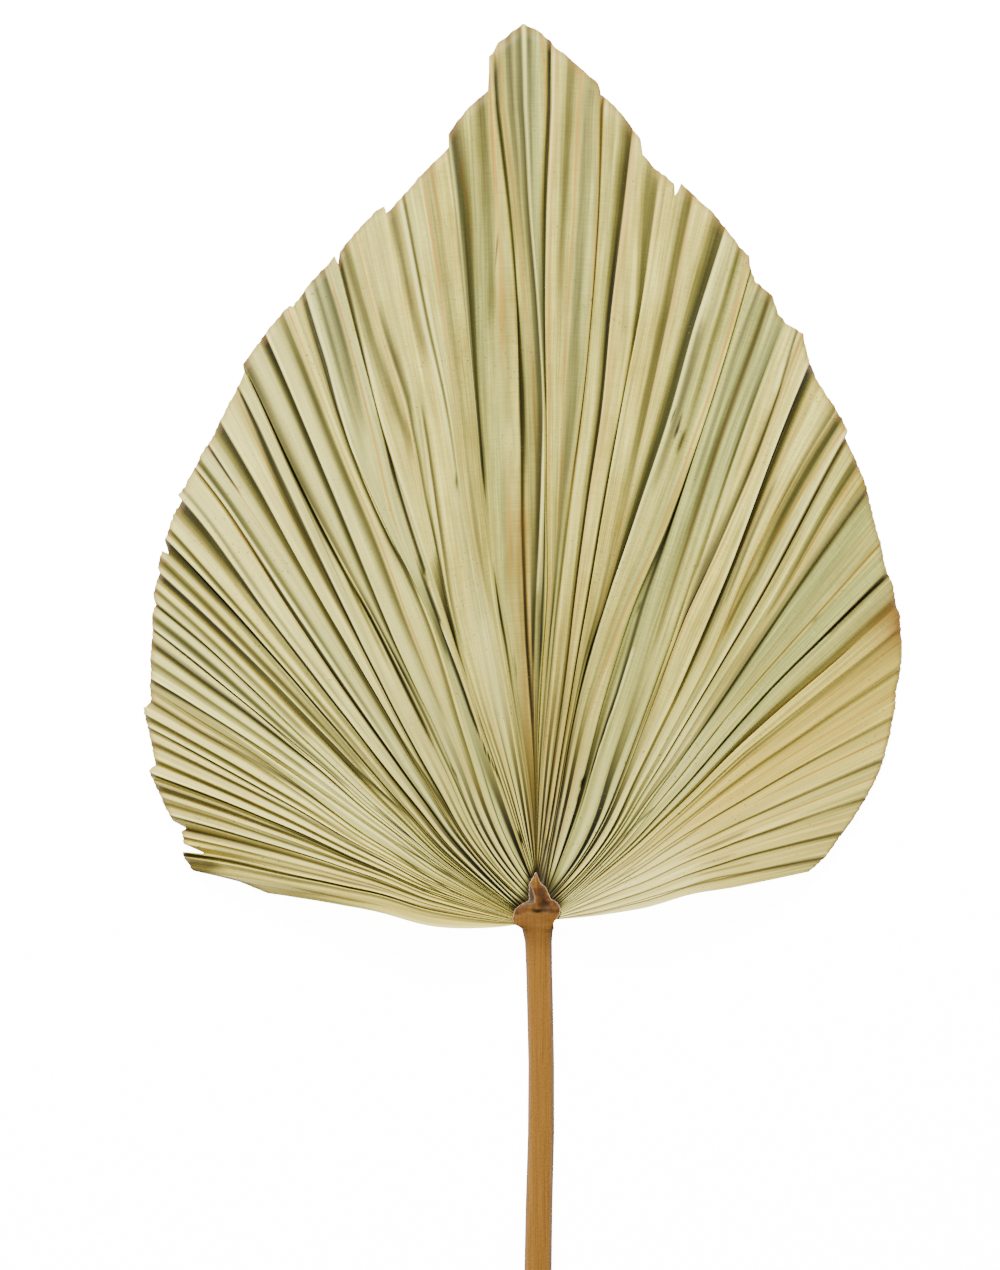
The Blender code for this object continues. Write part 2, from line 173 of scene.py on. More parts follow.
# Gaps where a pleat's edge lies over the next: angle, inner and outer end as shares of the line, half width
GAPS = [
    (-81.35, 0.2, 1, 0.1), (-76.1, 0.3, 0.98, 0.09), (-71.1, 0.1, 1, 0.11), (-65.15, 0.1, 0.95, 0.08),
    (-60.3, 0.4, 0.98, 0.05), (-59.6, 0.05, 0.8, 0.12), (-54.15, 0.1, 0.98, 0.07), (-51.3, 0.3, 1, 0.09),
    (-48.9, 0.05, 0.6, 0.13), (-45.35, 0.05, 1, 0.13), (-41.3, 0.05, 0.72, 0.14), (-38.05, 0.1, 0.85, 0.12),
    (-33.3, 0.05, 0.6, 0.14), (-30.2, 0.3, 0.75, 0.09), (-28.55, 0.05, 1, 0.09), (-25.5, 0.2, 0.6, 0.1),
    (-20.85, 0.3, 0.95, 0.09), (-17.1, 0.05, 1, 0.1), (-12.4, 0.2, 0.8, 0.05), (-10.65, 0.5, 1, 0.06),
    (-6.1, 0.4, 0.98, 0.35), (-5.2, 0.05, 0.65, 0.18), (-2.8, 0.2, 0.98, 0.15), (-1, 0.5, 0.98, 0.05),
    (0.9, 0.1, 0.98, 0.14), (4.45, 0.1, 0.95, 0.06), (6.8, 0.05, 0.9, 0.08), (9.2, 0.05, 0.62, 0.3),
    (9.62, 0.5, 0.98, 0.05), (15.4, 0.05, 0.6, 0.1), (18.75, 0.05, 0.72, 0.22), (23, 0.05, 0.6, 0.05),
    (24.35, 0.05, 0.98, 0.05), (26.45, 0.05, 0.98, 0.07), (33.3, 0.05, 0.95, 0.06), (38.6, 0.05, 0.6, 0.06),
    (46.45, 0.05, 1, 0.12), (50.2, 0.1, 0.9, 0.08),
]
# The painted shade in the folds. Each fold is a list of places along it, from rim to neck: share of the
# line's length in percent, angle of the darkest line, how far the painted shade fades to its left and to its
# right in hundredths of a degree, and how dark it is in percent.
FOLDS = [
    [(100, -84, 180, 180, 60), (96, -83.6, 140, 140, 50), (93, -82.6, 80, 60, 40)],
    [(72, -84.5, 30, 30, 30), (60, -84.7, 30, 30, 30), (50, -84.6, 20, 30, 20)],
    [(100, -81.4, 50, 15, 70), (90, -81.1, 20, 15, 70), (80, -81.1, 15, 15, 50), (70, -81.1, 20, 10, 40),
     (60, -81.4, 20, 15, 60), (50, -81.6, 20, 15, 60), (42, -81.3, 30, 20, 50), (30, -80.6, 40, 40, 50),
     (20, -80.8, 40, 30, 50)],
    [(90, -79.7, 20, 20, 20), (70, -79.9, 30, 30, 30), (55, -80, 40, 30, 45), (45, -79.9, 40, 30, 40),
     (38, -79.8, 30, 30, 25)],
    [(100, -78.8, 25, 10, 35), (80, -78.8, 25, 10, 25)],
    [(100, -77.4, 50, 30, 50), (80, -77.4, 40, 35, 50), (65, -77.4, 30, 40, 45), (50, -77.3, 30, 50, 40),
     (42, -77.2, 50, 40, 60), (35, -76.8, 50, 30, 65), (25, -76.4, 60, 25, 70), (20, -77.2, 60, 50, 60)],
    [(100, -75.95, 15, 8, 60), (85, -75.9, 12, 6, 60), (70, -75.9, 12, 6, 50), (50, -76, 20, 8, 60),
     (45, -76.2, 25, 10, 60)],
    [(100, -74.3, 40, 15, 40), (85, -74.3, 35, 20, 45), (70, -74.5, 35, 20, 50), (60, -74.6, 30, 25, 45),
     (50, -74.5, 30, 50, 35), (42, -74.3, 30, 50, 25)],
    [(100, -72.3, 30, 35, 55), (70, -72.3, 30, 40, 50), (60, -72, 40, 50, 50), (52, -71.8, 60, 40, 60),
     (47, -71.8, 60, 30, 85), (42, -72, 40, 25, 100), (35, -72.1, 30, 25, 60), (28, -72.1, 30, 25, 60),
     (22, -73.3, 50, 40, 50)],
    [(100, -71, 15, 10, 85), (85, -71, 15, 8, 75), (70, -71.1, 15, 8, 70), (58, -71, 20, 10, 60)],
    [(100, -69, 30, 20, 35), (85, -69.1, 35, 20, 50), (70, -69.1, 35, 25, 50), (55, -69.1, 40, 40, 40),
     (45, -68.9, 40, 50, 30)],
    [(100, -66.8, 40, 20, 40), (80, -66.7, 40, 20, 50), (65, -66.4, 40, 30, 45), (50, -65.8, 60, 30, 45),
     (42, -66.3, 50, 40, 55), (37, -66.7, 40, 30, 100), (32, -66.9, 35, 30, 100), (27, -67.7, 50, 40, 85),
     (22, -69.5, 80, 50, 75)],
    [(100, -65.05, 12, 8, 70), (80, -65.1, 12, 8, 65), (60, -65.1, 15, 8, 60), (50, -65.2, 20, 10, 50)],
    [(100, -63.8, 40, 15, 45), (85, -63.7, 40, 15, 50), (70, -63.9, 35, 20, 50), (55, -63.6, 30, 30, 35),
     (45, -63.2, 30, 40, 25)],
    [(100, -61.6, 30, 25, 60), (85, -61.7, 30, 30, 55), (70, -61.2, 40, 30, 55), (60, -60.7, 40, 30, 60),
     (53, -60.4, 30, 20, 60)],
    [(50, -60.2, 12, 6, 80), (43, -60.2, 15, 8, 105), (37, -60.5, 25, 15, 80), (30, -61.2, 40, 30, 85),
     (25, -62, 50, 40, 90), (20, -64.3, 90, 60, 90)],
    [(100, -59.45, 25, 5, 80), (85, -59.4, 15, 5, 100), (70, -59.35, 10, 6, 100), (60, -59.25, 10, 8, 80),
     (50, -59.2, 10, 15, 40), (40, -59.4, 8, 10, 40), (34, -59.3, 10, 20, 100), (30, -58.7, 20, 40, 90),
     (26, -57.6, 50, 50, 50), (20, -57, 200, 100, 40)],
    [(100, -57.5, 40, 30, 25), (80, -57.5, 40, 30, 20), (60, -57.7, 30, 40, 20)],
    [(100, -55.5, 35, 35, 50), (85, -55.4, 40, 35, 55), (75, -55.4, 35, 35, 60), (65, -55.5, 30, 30, 70),
     (58, -55.7, 15, 20, 110), (54, -55.8, 12, 12, 80), (40, -56.2, 10, 20, 30), (32, -55.8, 20, 30, 30),
     (27, -55, 30, 50, 50), (23, -54.2, 40, 40, 110), (20, -54.6, 100, 50, 50)],
    [(100, -54, 15, 6, 70), (85, -54, 10, 6, 70), (72, -54.2, 12, 6, 70), (65, -54.5, 15, 10, 70),
     (60, -54.9, 15, 10, 70)],
    [(100, -52.9, 35, 30, 35), (80, -52.9, 40, 40, 40), (65, -53.2, 40, 40, 35), (50, -53.6, 50, 50, 25)],
    [(37, -52.2, 20, 20, 80), (32, -52.3, 25, 30, 100), (27, -51.6, 30, 40, 95), (22, -51.2, 40, 30, 80)],
    [(100, -51.5, 20, 6, 70), (85, -51.3, 12, 6, 70), (72, -51.2, 8, 6, 70), (68, -51.15, 6, 6, 30)],
    [(100, -50.3, 30, 20, 35), (80, -50.3, 30, 20, 30), (60, -50.4, 30, 30, 20)],
    [(100, -48.55, 35, 12, 85), (85, -48.5, 40, 10, 80), (70, -48.25, 50, 10, 70), (55, -48.15, 70, 10, 60),
     (45, -48, 90, 10, 60), (38, -47.2, 80, 12, 50), (32, -46.4, 50, 12, 45)],
    [(100, -47.4, 35, 30, 40), (80, -47.4, 40, 35, 40), (60, -47, 50, 50, 30), (45, -46.6, 50, 50, 20)],
    [(100, -45.35, 75, 10, 65), (90, -45.3, 60, 10, 70), (80, -45.3, 30, 10, 90), (72, -45.3, 18, 10, 110),
     (62, -45.2, 15, 10, 110), (50, -45, 30, 12, 80), (40, -45, 35, 15, 70), (33, -45.3, 40, 25, 65),
     (26, -45.3, 30, 20, 70), (20, -45, 40, 35, 90)],
    [(100, -44.3, 30, 15, 45), (85, -44.3, 30, 20, 40), (70, -44.2, 35, 30, 35), (50, -43.9, 30, 40, 30),
     (35, -43.8, 30, 30, 20)],
    [(100, -41.3, 100, 12, 55), (90, -41.2, 90, 10, 60), (80, -41.1, 50, 10, 70), (72, -41.1, 20, 8, 100),
     (60, -41.05, 14, 10, 115), (48, -41.1, 20, 12, 115), (40, -41.35, 30, 15, 110),
     (30, -41.6, 45, 30, 100), (24, -41.3, 40, 30, 100)],
    [(100, -40.4, 15, 25, 25), (80, -40.3, 20, 30, 25), (60, -40, 20, 30, 20), (45, -39.9, 20, 20, 12)],
    [(100, -37.95, 10, 5, 50), (85, -37.9, 12, 6, 60), (75, -37.85, 15, 8, 100), (65, -37.75, 30, 8, 95),
     (50, -37.75, 40, 8, 90), (40, -37.85, 40, 10, 110), (30, -37.95, 40, 20, 115),
     (24, -37.8, 60, 30, 110)],
    [(100, -37.3, 20, 30, 40), (85, -37.4, 12, 40, 40), (70, -37.2, 12, 40, 30), (50, -36.9, 15, 30, 25),
     (40, -36.8, 20, 30, 12)],
    [(100, -35.45, 12, 10, 100), (93, -35.6, 12, 10, 80)],
    [(100, -33.1, 100, 6, 55), (85, -33.1, 100, 6, 55), (70, -33.3, 100, 6, 50), (55, -33.35, 110, 8, 55),
     (43, -33.2, 120, 10, 60), (37, -32.8, 120, 15, 60), (30, -32, 140, 30, 55), (22, -31, 200, 50, 50)],
    [(98, -29.9, 12, 8, 100), (92, -29.8, 30, 8, 75), (80, -29.8, 80, 10, 60), (70, -29.95, 100, 10, 60),
     (60, -30, 60, 10, 80), (52, -30, 30, 10, 100), (45, -29.9, 20, 15, 115), (35, -29.8, 30, 15, 115),
     (28, -29.85, 40, 30, 115), (22, -29.6, 50, 50, 110)],
    [(96, -28.5, 6, 5, 110), (85, -28.5, 15, 5, 110), (70, -28.5, 20, 5, 110), (55, -28.45, 15, 5, 110),
     (45, -28.45, 10, 5, 90), (35, -28.45, 8, 8, 60)],
    [(60, -28.55, 12, 10, 30), (40, -28.57, 15, 10, 40), (25, -28.57, 15, 10, 50)],
    [(100, -28.3, 15, 50, 50), (80, -28.3, 15, 60, 45), (60, -28.3, 15, 70, 40), (50, -28.2, 20, 70, 60),
     (44, -27.9, 50, 80, 80), (40, -27.6, 60, 90, 50), (30, -27.5, 70, 60, 40), (25, -27.4, 50, 50, 50),
     (20, -26.8, 60, 40, 70)],
    [(100, -25.4, 45, 6, 75), (85, -25.4, 50, 6, 70), (70, -25.3, 60, 6, 60), (60, -25.3, 80, 6, 55),
     (50, -25.3, 90, 8, 65), (44, -25.5, 100, 15, 45), (38, -26, 80, 30, 20)],
    [(100, -23.3, 45, 20, 30), (85, -23.3, 50, 20, 45), (70, -23.3, 50, 20, 45), (50, -23.4, 40, 25, 35),
     (35, -23.4, 30, 30, 15)],
    [(100, -20.55, 35, 6, 70), (88, -20.5, 50, 6, 65), (78, -20.7, 50, 6, 65), (70, -21.1, 40, 8, 75),
     (65, -21.25, 35, 10, 80), (60, -21.1, 40, 10, 80), (56, -20.9, 40, 15, 55), (50, -21.1, 30, 10, 35),
     (40, -21.2, 40, 10, 35), (30, -21.3, 80, 10, 40), (22, -21.6, 120, 20, 45)],
    [(100, -18.5, 35, 12, 50), (88, -18.5, 50, 15, 40), (78, -18.7, 60, 30, 15)],
    [(100, -19.5, 20, 20, 30), (85, -19.5, 20, 20, 25), (75, -19.4, 30, 20, 10)],
    [(100, -16.95, 10, 25, 75), (92, -16.95, 10, 22, 70), (85, -17, 8, 12, 90), (80, -17, 8, 8, 50),
     (74, -17.1, 10, 5, 80), (68, -17.12, 15, 5, 115), (55, -17.12, 12, 5, 110), (45, -17.2, 40, 6, 80),
     (38, -17.3, 40, 6, 90), (30, -17.4, 25, 10, 110), (25, -17.2, 20, 10, 100), (20, -17, 15, 15, 100)],
    [(100, -16.2, 40, 30, 35), (85, -15.9, 50, 30, 30), (75, -15.6, 40, 25, 35), (70, -15.3, 30, 20, 30)],
    [(86, -14.6, 20, 40, 20), (80, -14.4, 25, 50, 45), (74, -14.2, 25, 50, 45), (70, -14.4, 20, 40, 40),
     (60, -14, 20, 50, 30), (53, -13.3, 30, 60, 50), (47, -12.8, 60, 40, 70)],
    [(50, -13.5, 350, 120, 35), (45, -14.5, 350, 220, 65), (41, -15.8, 200, 300, 95),
     (38, -16.5, 100, 200, 30)],
    [(28, -16.6, 40, 60, 50), (20, -16.5, 50, 80, 70)],
    [(100, -11.9, 20, 40, 35), (90, -11.7, 25, 30, 40), (80, -11.5, 20, 30, 30)],
    [(70, -12.2, 5, 15, 40), (60, -12.1, 5, 25, 50), (50, -12.1, 6, 35, 35), (40, -12.2, 6, 30, 25)],
    [(100, -10.75, 8, 15, 65), (80, -10.75, 8, 12, 55), (70, -10.78, 6, 10, 45), (60, -10.75, 5, 10, 30)],
    [(100, -8.5, 30, 50, 25), (70, -8.3, 40, 40, 40), (50, -8.2, 40, 30, 30), (42, -8, 30, 30, 15)],
    [(100, -6.7, 15, 5, 40), (80, -6.7, 25, 5, 45), (65, -6.8, 30, 5, 45), (50, -6.6, 30, 10, 20)],
    [(100, -6.3, 15, 60, 85), (90, -6.1, 30, 80, 80), (80, -5.7, 75, 60, 75), (70, -5.7, 80, 65, 80),
     (62, -5.6, 85, 60, 100), (57, -5.4, 90, 50, 115), (54, -5.3, 60, 40, 90), (52, -5.2, 50, 40, 20)],
    [(40, -4.9, 30, 20, 60), (37, -4.75, 60, 15, 100), (33, -4.6, 60, 15, 60), (28, -4.9, 60, 30, 30)],
    [(100, -3.9, 50, 30, 35), (90, -3.8, 50, 30, 30), (75, -3.7, 40, 30, 20)],
    [(97, -2.8, 15, 30, 75), (88, -2.85, 10, 35, 60), (78, -2.8, 15, 40, 45), (72, -2.85, 10, 15, 80),
     (68, -2.8, 12, 30, 110), (60, -2.7, 15, 30, 110), (53, -2.7, 12, 25, 100), (45, -2.75, 12, 20, 60),
     (38, -2.7, 12, 20, 70), (30, -2.7, 15, 25, 85), (22, -2.6, 20, 40, 80)],
    [(100, -1.8, 20, 20, 40), (85, -1.7, 20, 20, 30), (75, -1.7, 20, 20, 12)],
    [(100, -1.15, 25, 6, 50), (85, -1.1, 30, 6, 45), (70, -1.1, 35, 6, 50), (55, -1.15, 50, 6, 60),
     (45, -1.4, 50, 6, 60), (38, -1.7, 50, 10, 50), (30, -2.1, 40, 20, 60)],
    [(100, -0.6, 15, 20, 40), (85, -0.6, 20, 20, 25), (75, -0.6, 20, 20, 10)],
    [(100, 0.95, 20, 6, 90), (93, 1, 15, 6, 90), (85, 1, 30, 6, 60), (75, 0.9, 60, 6, 65),
     (68, 0.7, 80, 8, 70), (63, 0.6, 70, 10, 85), (59, 0.6, 50, 15, 110), (57, 0.6, 40, 20, 30)],
    [(48, -0.2, 30, 30, 50), (43, -0.5, 30, 30, 70), (38, -0.7, 30, 30, 60), (33, -0.9, 40, 60, 60),
     (30, -0.5, 60, 50, 80), (27, -0.6, 60, 60, 50)],
    [(100, 2.5, 35, 25, 35), (85, 2.4, 35, 25, 30), (75, 2.4, 30, 30, 12)],
    [(100, 3.7, 30, 30, 25), (85, 3.5, 30, 30, 20), (60, 3.7, 50, 20, 25), (45, 3.4, 50, 40, 35),
     (38, 3, 40, 30, 45), (33, 2.9, 30, 15, 75), (28, 3, 30, 20, 50)],
    [(100, 4.5, 15, 12, 40), (85, 4.5, 20, 20, 30), (70, 4.5, 20, 20, 25), (50, 4.45, 10, 10, 30),
     (35, 4.3, 30, 10, 35), (20, 4.2, 30, 10, 40)],
    [(100, 6.9, 60, 10, 45), (93, 6.9, 60, 8, 65), (80, 6.9, 50, 8, 70), (65, 6.85, 35, 8, 80),
     (50, 6.9, 30, 8, 85), (35, 6.95, 35, 8, 75), (25, 7, 50, 8, 60)],
    [(98, 9.4, 120, 8, 30), (85, 9.4, 140, 10, 45), (77, 9.4, 150, 15, 50), (73, 9.4, 100, 10, 10),
     (68, 9.55, 100, 6, 40), (62, 9.5, 150, 10, 90), (50, 9.1, 120, 20, 70), (40, 9.1, 120, 20, 75),
     (30, 9.1, 120, 30, 100), (22, 9, 120, 30, 90)],
    [(100, 12.3, 60, 10, 35), (80, 12.3, 70, 10, 40), (65, 12.4, 50, 10, 30), (50, 12.4, 30, 20, 15)],
    [(100, 15.4, 90, 6, 50), (85, 15.4, 90, 6, 60), (70, 15.45, 120, 6, 50), (60, 15.4, 160, 6, 50),
     (50, 15.5, 220, 6, 50), (42, 15.5, 300, 8, 50), (37, 15.7, 300, 10, 100), (30, 15.7, 300, 10, 60),
     (20, 15.7, 300, 10, 60)],
    [(100, 17.1, 15, 15, 35), (85, 17, 15, 20, 25), (75, 17.2, 20, 20, 10)],
    [(85, 16, 20, 30, 25), (75, 16.1, 20, 30, 30), (65, 16.2, 20, 30, 20)],
    [(73, 18.7, 15, 20, 30), (68, 18.75, 15, 20, 100), (64, 18.8, 15, 20, 115), (58, 18.85, 15, 20, 75),
     (50, 18.9, 20, 20, 50), (40, 19.05, 30, 12, 60), (34, 19.1, 30, 6, 90), (28, 19, 35, 6, 100),
     (22, 18.9, 30, 10, 100)],
    [(100, 19.7, 15, 20, 30), (85, 19.7, 15, 20, 20), (70, 19.8, 15, 20, 15)],
    [(100, 20.7, 25, 15, 45), (85, 20.7, 25, 20, 40), (70, 20.7, 25, 25, 40), (55, 20.8, 30, 30, 35),
     (45, 20.9, 20, 30, 20)],
    [(100, 22.6, 40, 10, 20), (85, 22.8, 40, 10, 35), (75, 22.9, 30, 10, 30), (60, 23.1, 15, 10, 25)],
    [(100, 24, 10, 5, 50), (90, 24.25, 8, 5, 50), (75, 24.25, 30, 5, 40), (60, 24.2, 60, 5, 50),
     (52, 24.3, 50, 10, 65), (47, 24.4, 40, 20, 30), (40, 23.9, 40, 50, 25), (30, 23.4, 40, 50, 20),
     (22, 23.6, 60, 60, 30)],
    [(100, 26.4, 5, 70, 70), (90, 26.4, 5, 80, 65), (80, 26.4, 5, 100, 60), (70, 26.4, 5, 160, 60),
     (60, 26.4, 6, 220, 55), (50, 26.4, 6, 180, 40), (43, 26.4, 6, 120, 25)],
    [(80, 28.6, 30, 30, 25), (70, 28.9, 30, 40, 40), (62, 29.2, 50, 50, 30)],
    [(100, 30.9, 50, 10, 30), (90, 30.9, 40, 10, 25), (80, 31, 30, 10, 20)],
    [(100, 31.8, 30, 25, 55), (90, 31.8, 30, 25, 50), (80, 31.8, 30, 30, 40), (70, 31.9, 20, 30, 35),
     (60, 31.5, 10, 30, 30)],
    [(100, 33.15, 5, 30, 45), (85, 33.15, 5, 40, 50), (70, 33.15, 5, 25, 50), (55, 33.15, 6, 30, 50),
     (40, 33.2, 10, 30, 45), (30, 33.2, 10, 50, 30)],
    [(100, 35.6, 50, 30, 35), (85, 35.6, 40, 30, 35), (70, 35.8, 30, 20, 20)],
    [(100, 38.4, 70, 15, 40), (85, 38.4, 90, 20, 40), (70, 38.4, 120, 30, 40), (60, 38.5, 140, 50, 45),
     (50, 38.6, 140, 60, 40), (42, 38.3, 100, 40, 30), (35, 37.6, 80, 40, 40), (28, 36.8, 60, 40, 60),
     (22, 36.2, 40, 60, 70)],
    [(50, 43.5, 10, 15, 45), (40, 43.55, 10, 15, 50), (31, 43.5, 30, 10, 70), (28, 42, 60, 60, 40),
     (25, 40, 60, 60, 35), (21, 37.5, 60, 60, 40)],
    [(98, 46.45, 22, 22, 110), (90, 46.4, 15, 18, 100), (80, 46.4, 12, 12, 100), (72, 46.4, 10, 10, 50),
     (60, 46.5, 15, 15, 50), (52, 46.55, 20, 15, 80), (47, 46.55, 15, 15, 50), (44, 46.5, 20, 20, 110),
     (41, 46.45, 15, 15, 50), (38, 46.45, 15, 20, 90), (34, 46.5, 12, 15, 40), (27, 46.2, 15, 20, 30),
     (22, 46.1, 20, 40, 60)],
    [(100, 49.8, 60, 15, 45), (85, 49.8, 70, 15, 40), (70, 49.8, 70, 20, 35), (60, 49.9, 60, 20, 50),
     (52, 49.9, 30, 20, 80), (45, 50.1, 20, 30, 60), (35, 50.3, 30, 15, 50), (28, 50, 60, 30, 60),
     (23, 49.8, 80, 60, 30)],
    [(100, 52.6, 10, 40, 45), (85, 52.7, 10, 50, 30), (70, 52.9, 15, 50, 30), (60, 53.2, 30, 40, 40),
     (50, 53.5, 20, 15, 80), (42, 53.65, 15, 15, 40), (30, 54.1, 20, 20, 35), (22, 55.2, 50, 50, 50)],
    [(100, 56.85, 12, 25, 30), (80, 56.8, 12, 30, 25), (60, 56.8, 12, 30, 20), (50, 57, 20, 30, 25),
     (42, 57.8, 20, 20, 30), (38, 58.3, 25, 20, 50), (33, 58.6, 30, 30, 55), (28, 59, 30, 50, 40),
     (22, 61, 100, 100, 30)],
    [(100, 62, 10, 25, 30), (80, 61.9, 10, 25, 25), (60, 61.8, 15, 30, 25), (48, 61.8, 20, 40, 25),
     (40, 63.2, 30, 30, 40), (33, 63.5, 30, 30, 50), (27, 64.3, 40, 30, 60), (22, 65.5, 50, 40, 90)],
    [(100, 67, 20, 35, 40), (80, 67, 15, 30, 35), (60, 66.9, 15, 30, 30), (45, 67.2, 20, 30, 20),
     (35, 67.3, 20, 30, 20)],
    [(60, 69.7, 40, 50, 30), (52, 69.7, 30, 60, 40), (45, 69.6, 30, 50, 20)],
    [(100, 71.7, 15, 40, 40), (80, 71.6, 15, 40, 35), (60, 71.3, 15, 30, 45), (50, 71.6, 20, 30, 30),
     (40, 71.9, 30, 30, 25), (30, 72.1, 20, 30, 35)],
    [(60, 74.5, 40, 50, 25), (52, 74.3, 30, 40, 20)],
    [(100, 76.5, 30, 35, 60), (80, 76.2, 25, 30, 50), (65, 76, 20, 30, 55), (50, 76.3, 20, 30, 40),
     (35, 75.8, 30, 30, 35), (25, 75.9, 30, 40, 40), (20, 76.4, 50, 50, 40)],
    [(70, 77.6, 20, 30, 30), (55, 77.4, 20, 30, 30)],
    [(100, 80.2, 15, 30, 65), (85, 79.9, 20, 30, 60), (72, 79.5, 15, 30, 60), (62, 79.2, 15, 20, 70),
     (50, 79.6, 20, 20, 50), (38, 78.8, 20, 20, 80), (30, 79, 20, 20, 60), (25, 79.3, 20, 20, 50)],
]
# Fine orange ribs: angle at the rim, angle halfway down, share of the length where the rib ends, strength
RIBS = [
    (-83.2, -84.2, 0.5, 0.4), (-78.2, -78.6, 0.35, 0.5), (-77.9, -78.2, 0.4, 0.3),
    (-72.8, -73.3, 0.45, 0.5), (-67.9, -67.2, 0.4, 0.3), (-62.5, -61.8, 0.5, 0.5), (-61.2, -60.6, 0.6, 0.4),
    (-55.7, -55.6, 0.85, 0.6), (-49, -48.95, 0.4, 0.5), (-42.55, -41.9, 0.78, 0.7), (-38.05, -38.2, 0.4, 1),
    (-35.8, -35.6, 0.42, 0.7), (-30.4, -30.9, 0.5, 0.8), (-22.6, -22.9, 0.3, 0.9),
    (-18.15, -17.95, 0.62, 1), (-15.1, -15.2, 0.7, 0.8), (-11.3, -11.35, 0.2, 0.4), (-8.95, -9.2, 0.5, 1),
    (-8.2, -8.2, 0.93, 0.8), (-6.2, -2.8, 0.84, 0.8), (-3.25, -3.15, 0.1, 1), (-2.4, -1.6, 0.42, 0.7),
    (0.35, 3.3, 0.88, 0.9), (1.4, 1.4, 0.4, 0.8), (1.2, 1.2, 0.6, 0.4), (3.05, 3.1, 0.5, 1),
    (4.6, 4.4, 0.93, 0.8), (4.15, 4.5, 0.2, 0.5), (7.1, 7.1, 0.3, 0.7), (7.25, 7.3, 0.15, 0.5),
    (9.65, 9.7, 0.8, 0.5), (12.5, 12.75, 0.45, 1), (17.95, 18, 0.15, 1), (20.7, 20.85, 0.25, 0.8),
    (24.4, 24.6, 0.45, 1), (28, 27.7, 0.7, 0.9), (28.2, 27.9, 0.75, 0.6), (31.3, 31.2, 0.5, 0.5),
    (32.6, 31.4, 0.58, 1), (33.1, 33.15, 0.1, 0.8), (36.15, 36.1, 0.35, 1), (41.4, 41.5, 0.55, 0.3),
    (43.35, 43.35, 0.5, 1), (50, 50.2, 0.55, 0.8), (53.8, 54, 0.52, 1), (59.15, 58.7, 0.38, 1),
    (64.15, 63.8, 0.42, 1), (69.05, 68.6, 0.35, 1), (73.8, 73.2, 0.42, 0.8), (78.1, 77.5, 0.5, 0.4),
]
# Stretches of the fan that dried green: first and last angle, strength
GREEN = [
    (-83, -81.4, 0.5), (-77.5, -76.2, 0.5), (-71.8, -71, 0.4), (-59.3, -55.6, 0.35), (-54, -51.5, 0.8),
    (-46.3, -45.3, 0.4), (-41, -38.6, 0.2), (-37.8, -34.8, 0.9), (-30, -28.6, 0.4), (-27.5, -23.2, 0.5),
    (-20.5, -17.4, 1), (-14.5, -12.5, 0.3), (-11, -8.8, 0.5), (-6.6, -3.1, 0.9), (-2.4, 0.3, 0.9),
    (1.5, 2.9, 0.3), (3.2, 4.3, 0.9), (4.8, 6.4, 0.5), (8, 9.6, 0.3), (14.6, 18, 0.7), (18.4, 23, 0.9),
    (31.3, 33, 0.6), (33.5, 36, 0.4), (38.6, 49, 0.85), (56.9, 58.9, 0.6), (62.2, 64, 0.6),
    (67.2, 68.8, 0.65), (71.9, 73.5, 0.6), (76.6, 78, 0.5),
]
# The three sheets: first and last angle, height of those edges in the pleats, and which edges run on under
SHEETS = [
    ("left_fan", (FIRST_ANGLE, -28.45), (0.5, -0.6), (False, True)),
    ("middle_fan", (-28.45, 18.42), (0.6, 0.6), (False, False)),
    ("right_fan", (18.42, LAST_ANGLE), (-0.4, 0.2), (True, False)),
]
# Cracks and specks, long along the pleats: x and y from the fan's middle, half width, half length, strength
MARKS = [
    (56.2, 192, 0.5, 3.4, 1.3), (57.6, 186.5, 0.7, 2.2, 1.2), (54.6, 197.5, 0.3, 2.4, 0.8),
    (18.4, 50, 0.8, 1.6, 1.6), (17.2, 45.5, 0.6, 1.2, 0.9), (-32.4, 171.2, 0.6, 1.2, 0.8),
    (-6.6, 28, 0.5, 2, 1.4), (-33.5, 55, 0.35, 3, 0.7), (40.8, 120.5, 0.4, 1.8, 0.6),
    (112, 116, 0.5, 1.2, 0.6), (-16, 262, 0.4, 2.4, 0.6), (-8.6, 96, 0.3, 3, 0.6),
]
# The painted shade in the folds, and the painted highlights on the crests beside their sharp edges
FOLD_STRENGTH = 1.3
SHARP_RIGHT = 0.13              # a fold that fades over fewer degrees has a painted highlight on the crest on that side
SHARP_LEFT = 0.09
HIGHLIGHT_OFFSET = 0.16             # degrees from where the painted shade ends to the middle of the painted highlight
HIGHLIGHT_WIDTH = 0.17
RIB_WIDTH = 0.13
GREEN_BLEND = 0.175             # degrees on each side of a green stretch's edge
# The painted fold shade is softer towards the right side: angle, share of its darkness
DARKNESS = [(-87, 1), (43, 1), (45, 0.7), (49, 0.7), (50, 0.6), (62, 0.75), (70, 0.55), (83, 0.5)]
LAP_ANGLE = 2.4                 # how far a lower sheet runs on under the upper one
LAP_DEPTH = 0.6
LAP_BLEND = 0.1                 # degrees over which it sinks there
GAP_DEPTH = 1.6
FRAY = 0.45                     # how far the cut edge wavers
SWAY = 0.25                     # how far the lines waver sideways
WAVE = 0.30                     # how far the blade waves up and down at the rim
ROW_POWER = 1.25                # above 1, rows lie closer together at the neck


def lookup(table, angles, column=1):
    """Straight-line reading of one column of a table against its first."""
    rows = np.array(table)
    return np.interp(angles, rows[:, 0], rows[:, column])


def bell(x, middle, width, power=2):
    """exp(-((x - middle) / width) ** power): 1 in the middle, falling off over the width."""
    return np.exp(-((x - middle) / width) ** power)


def ramp(x, start, end):
    """0 before the start and 1 past the end, straight between. The end may lie on either side."""
    return np.clip((x - start) / (end - start), 0, 1)


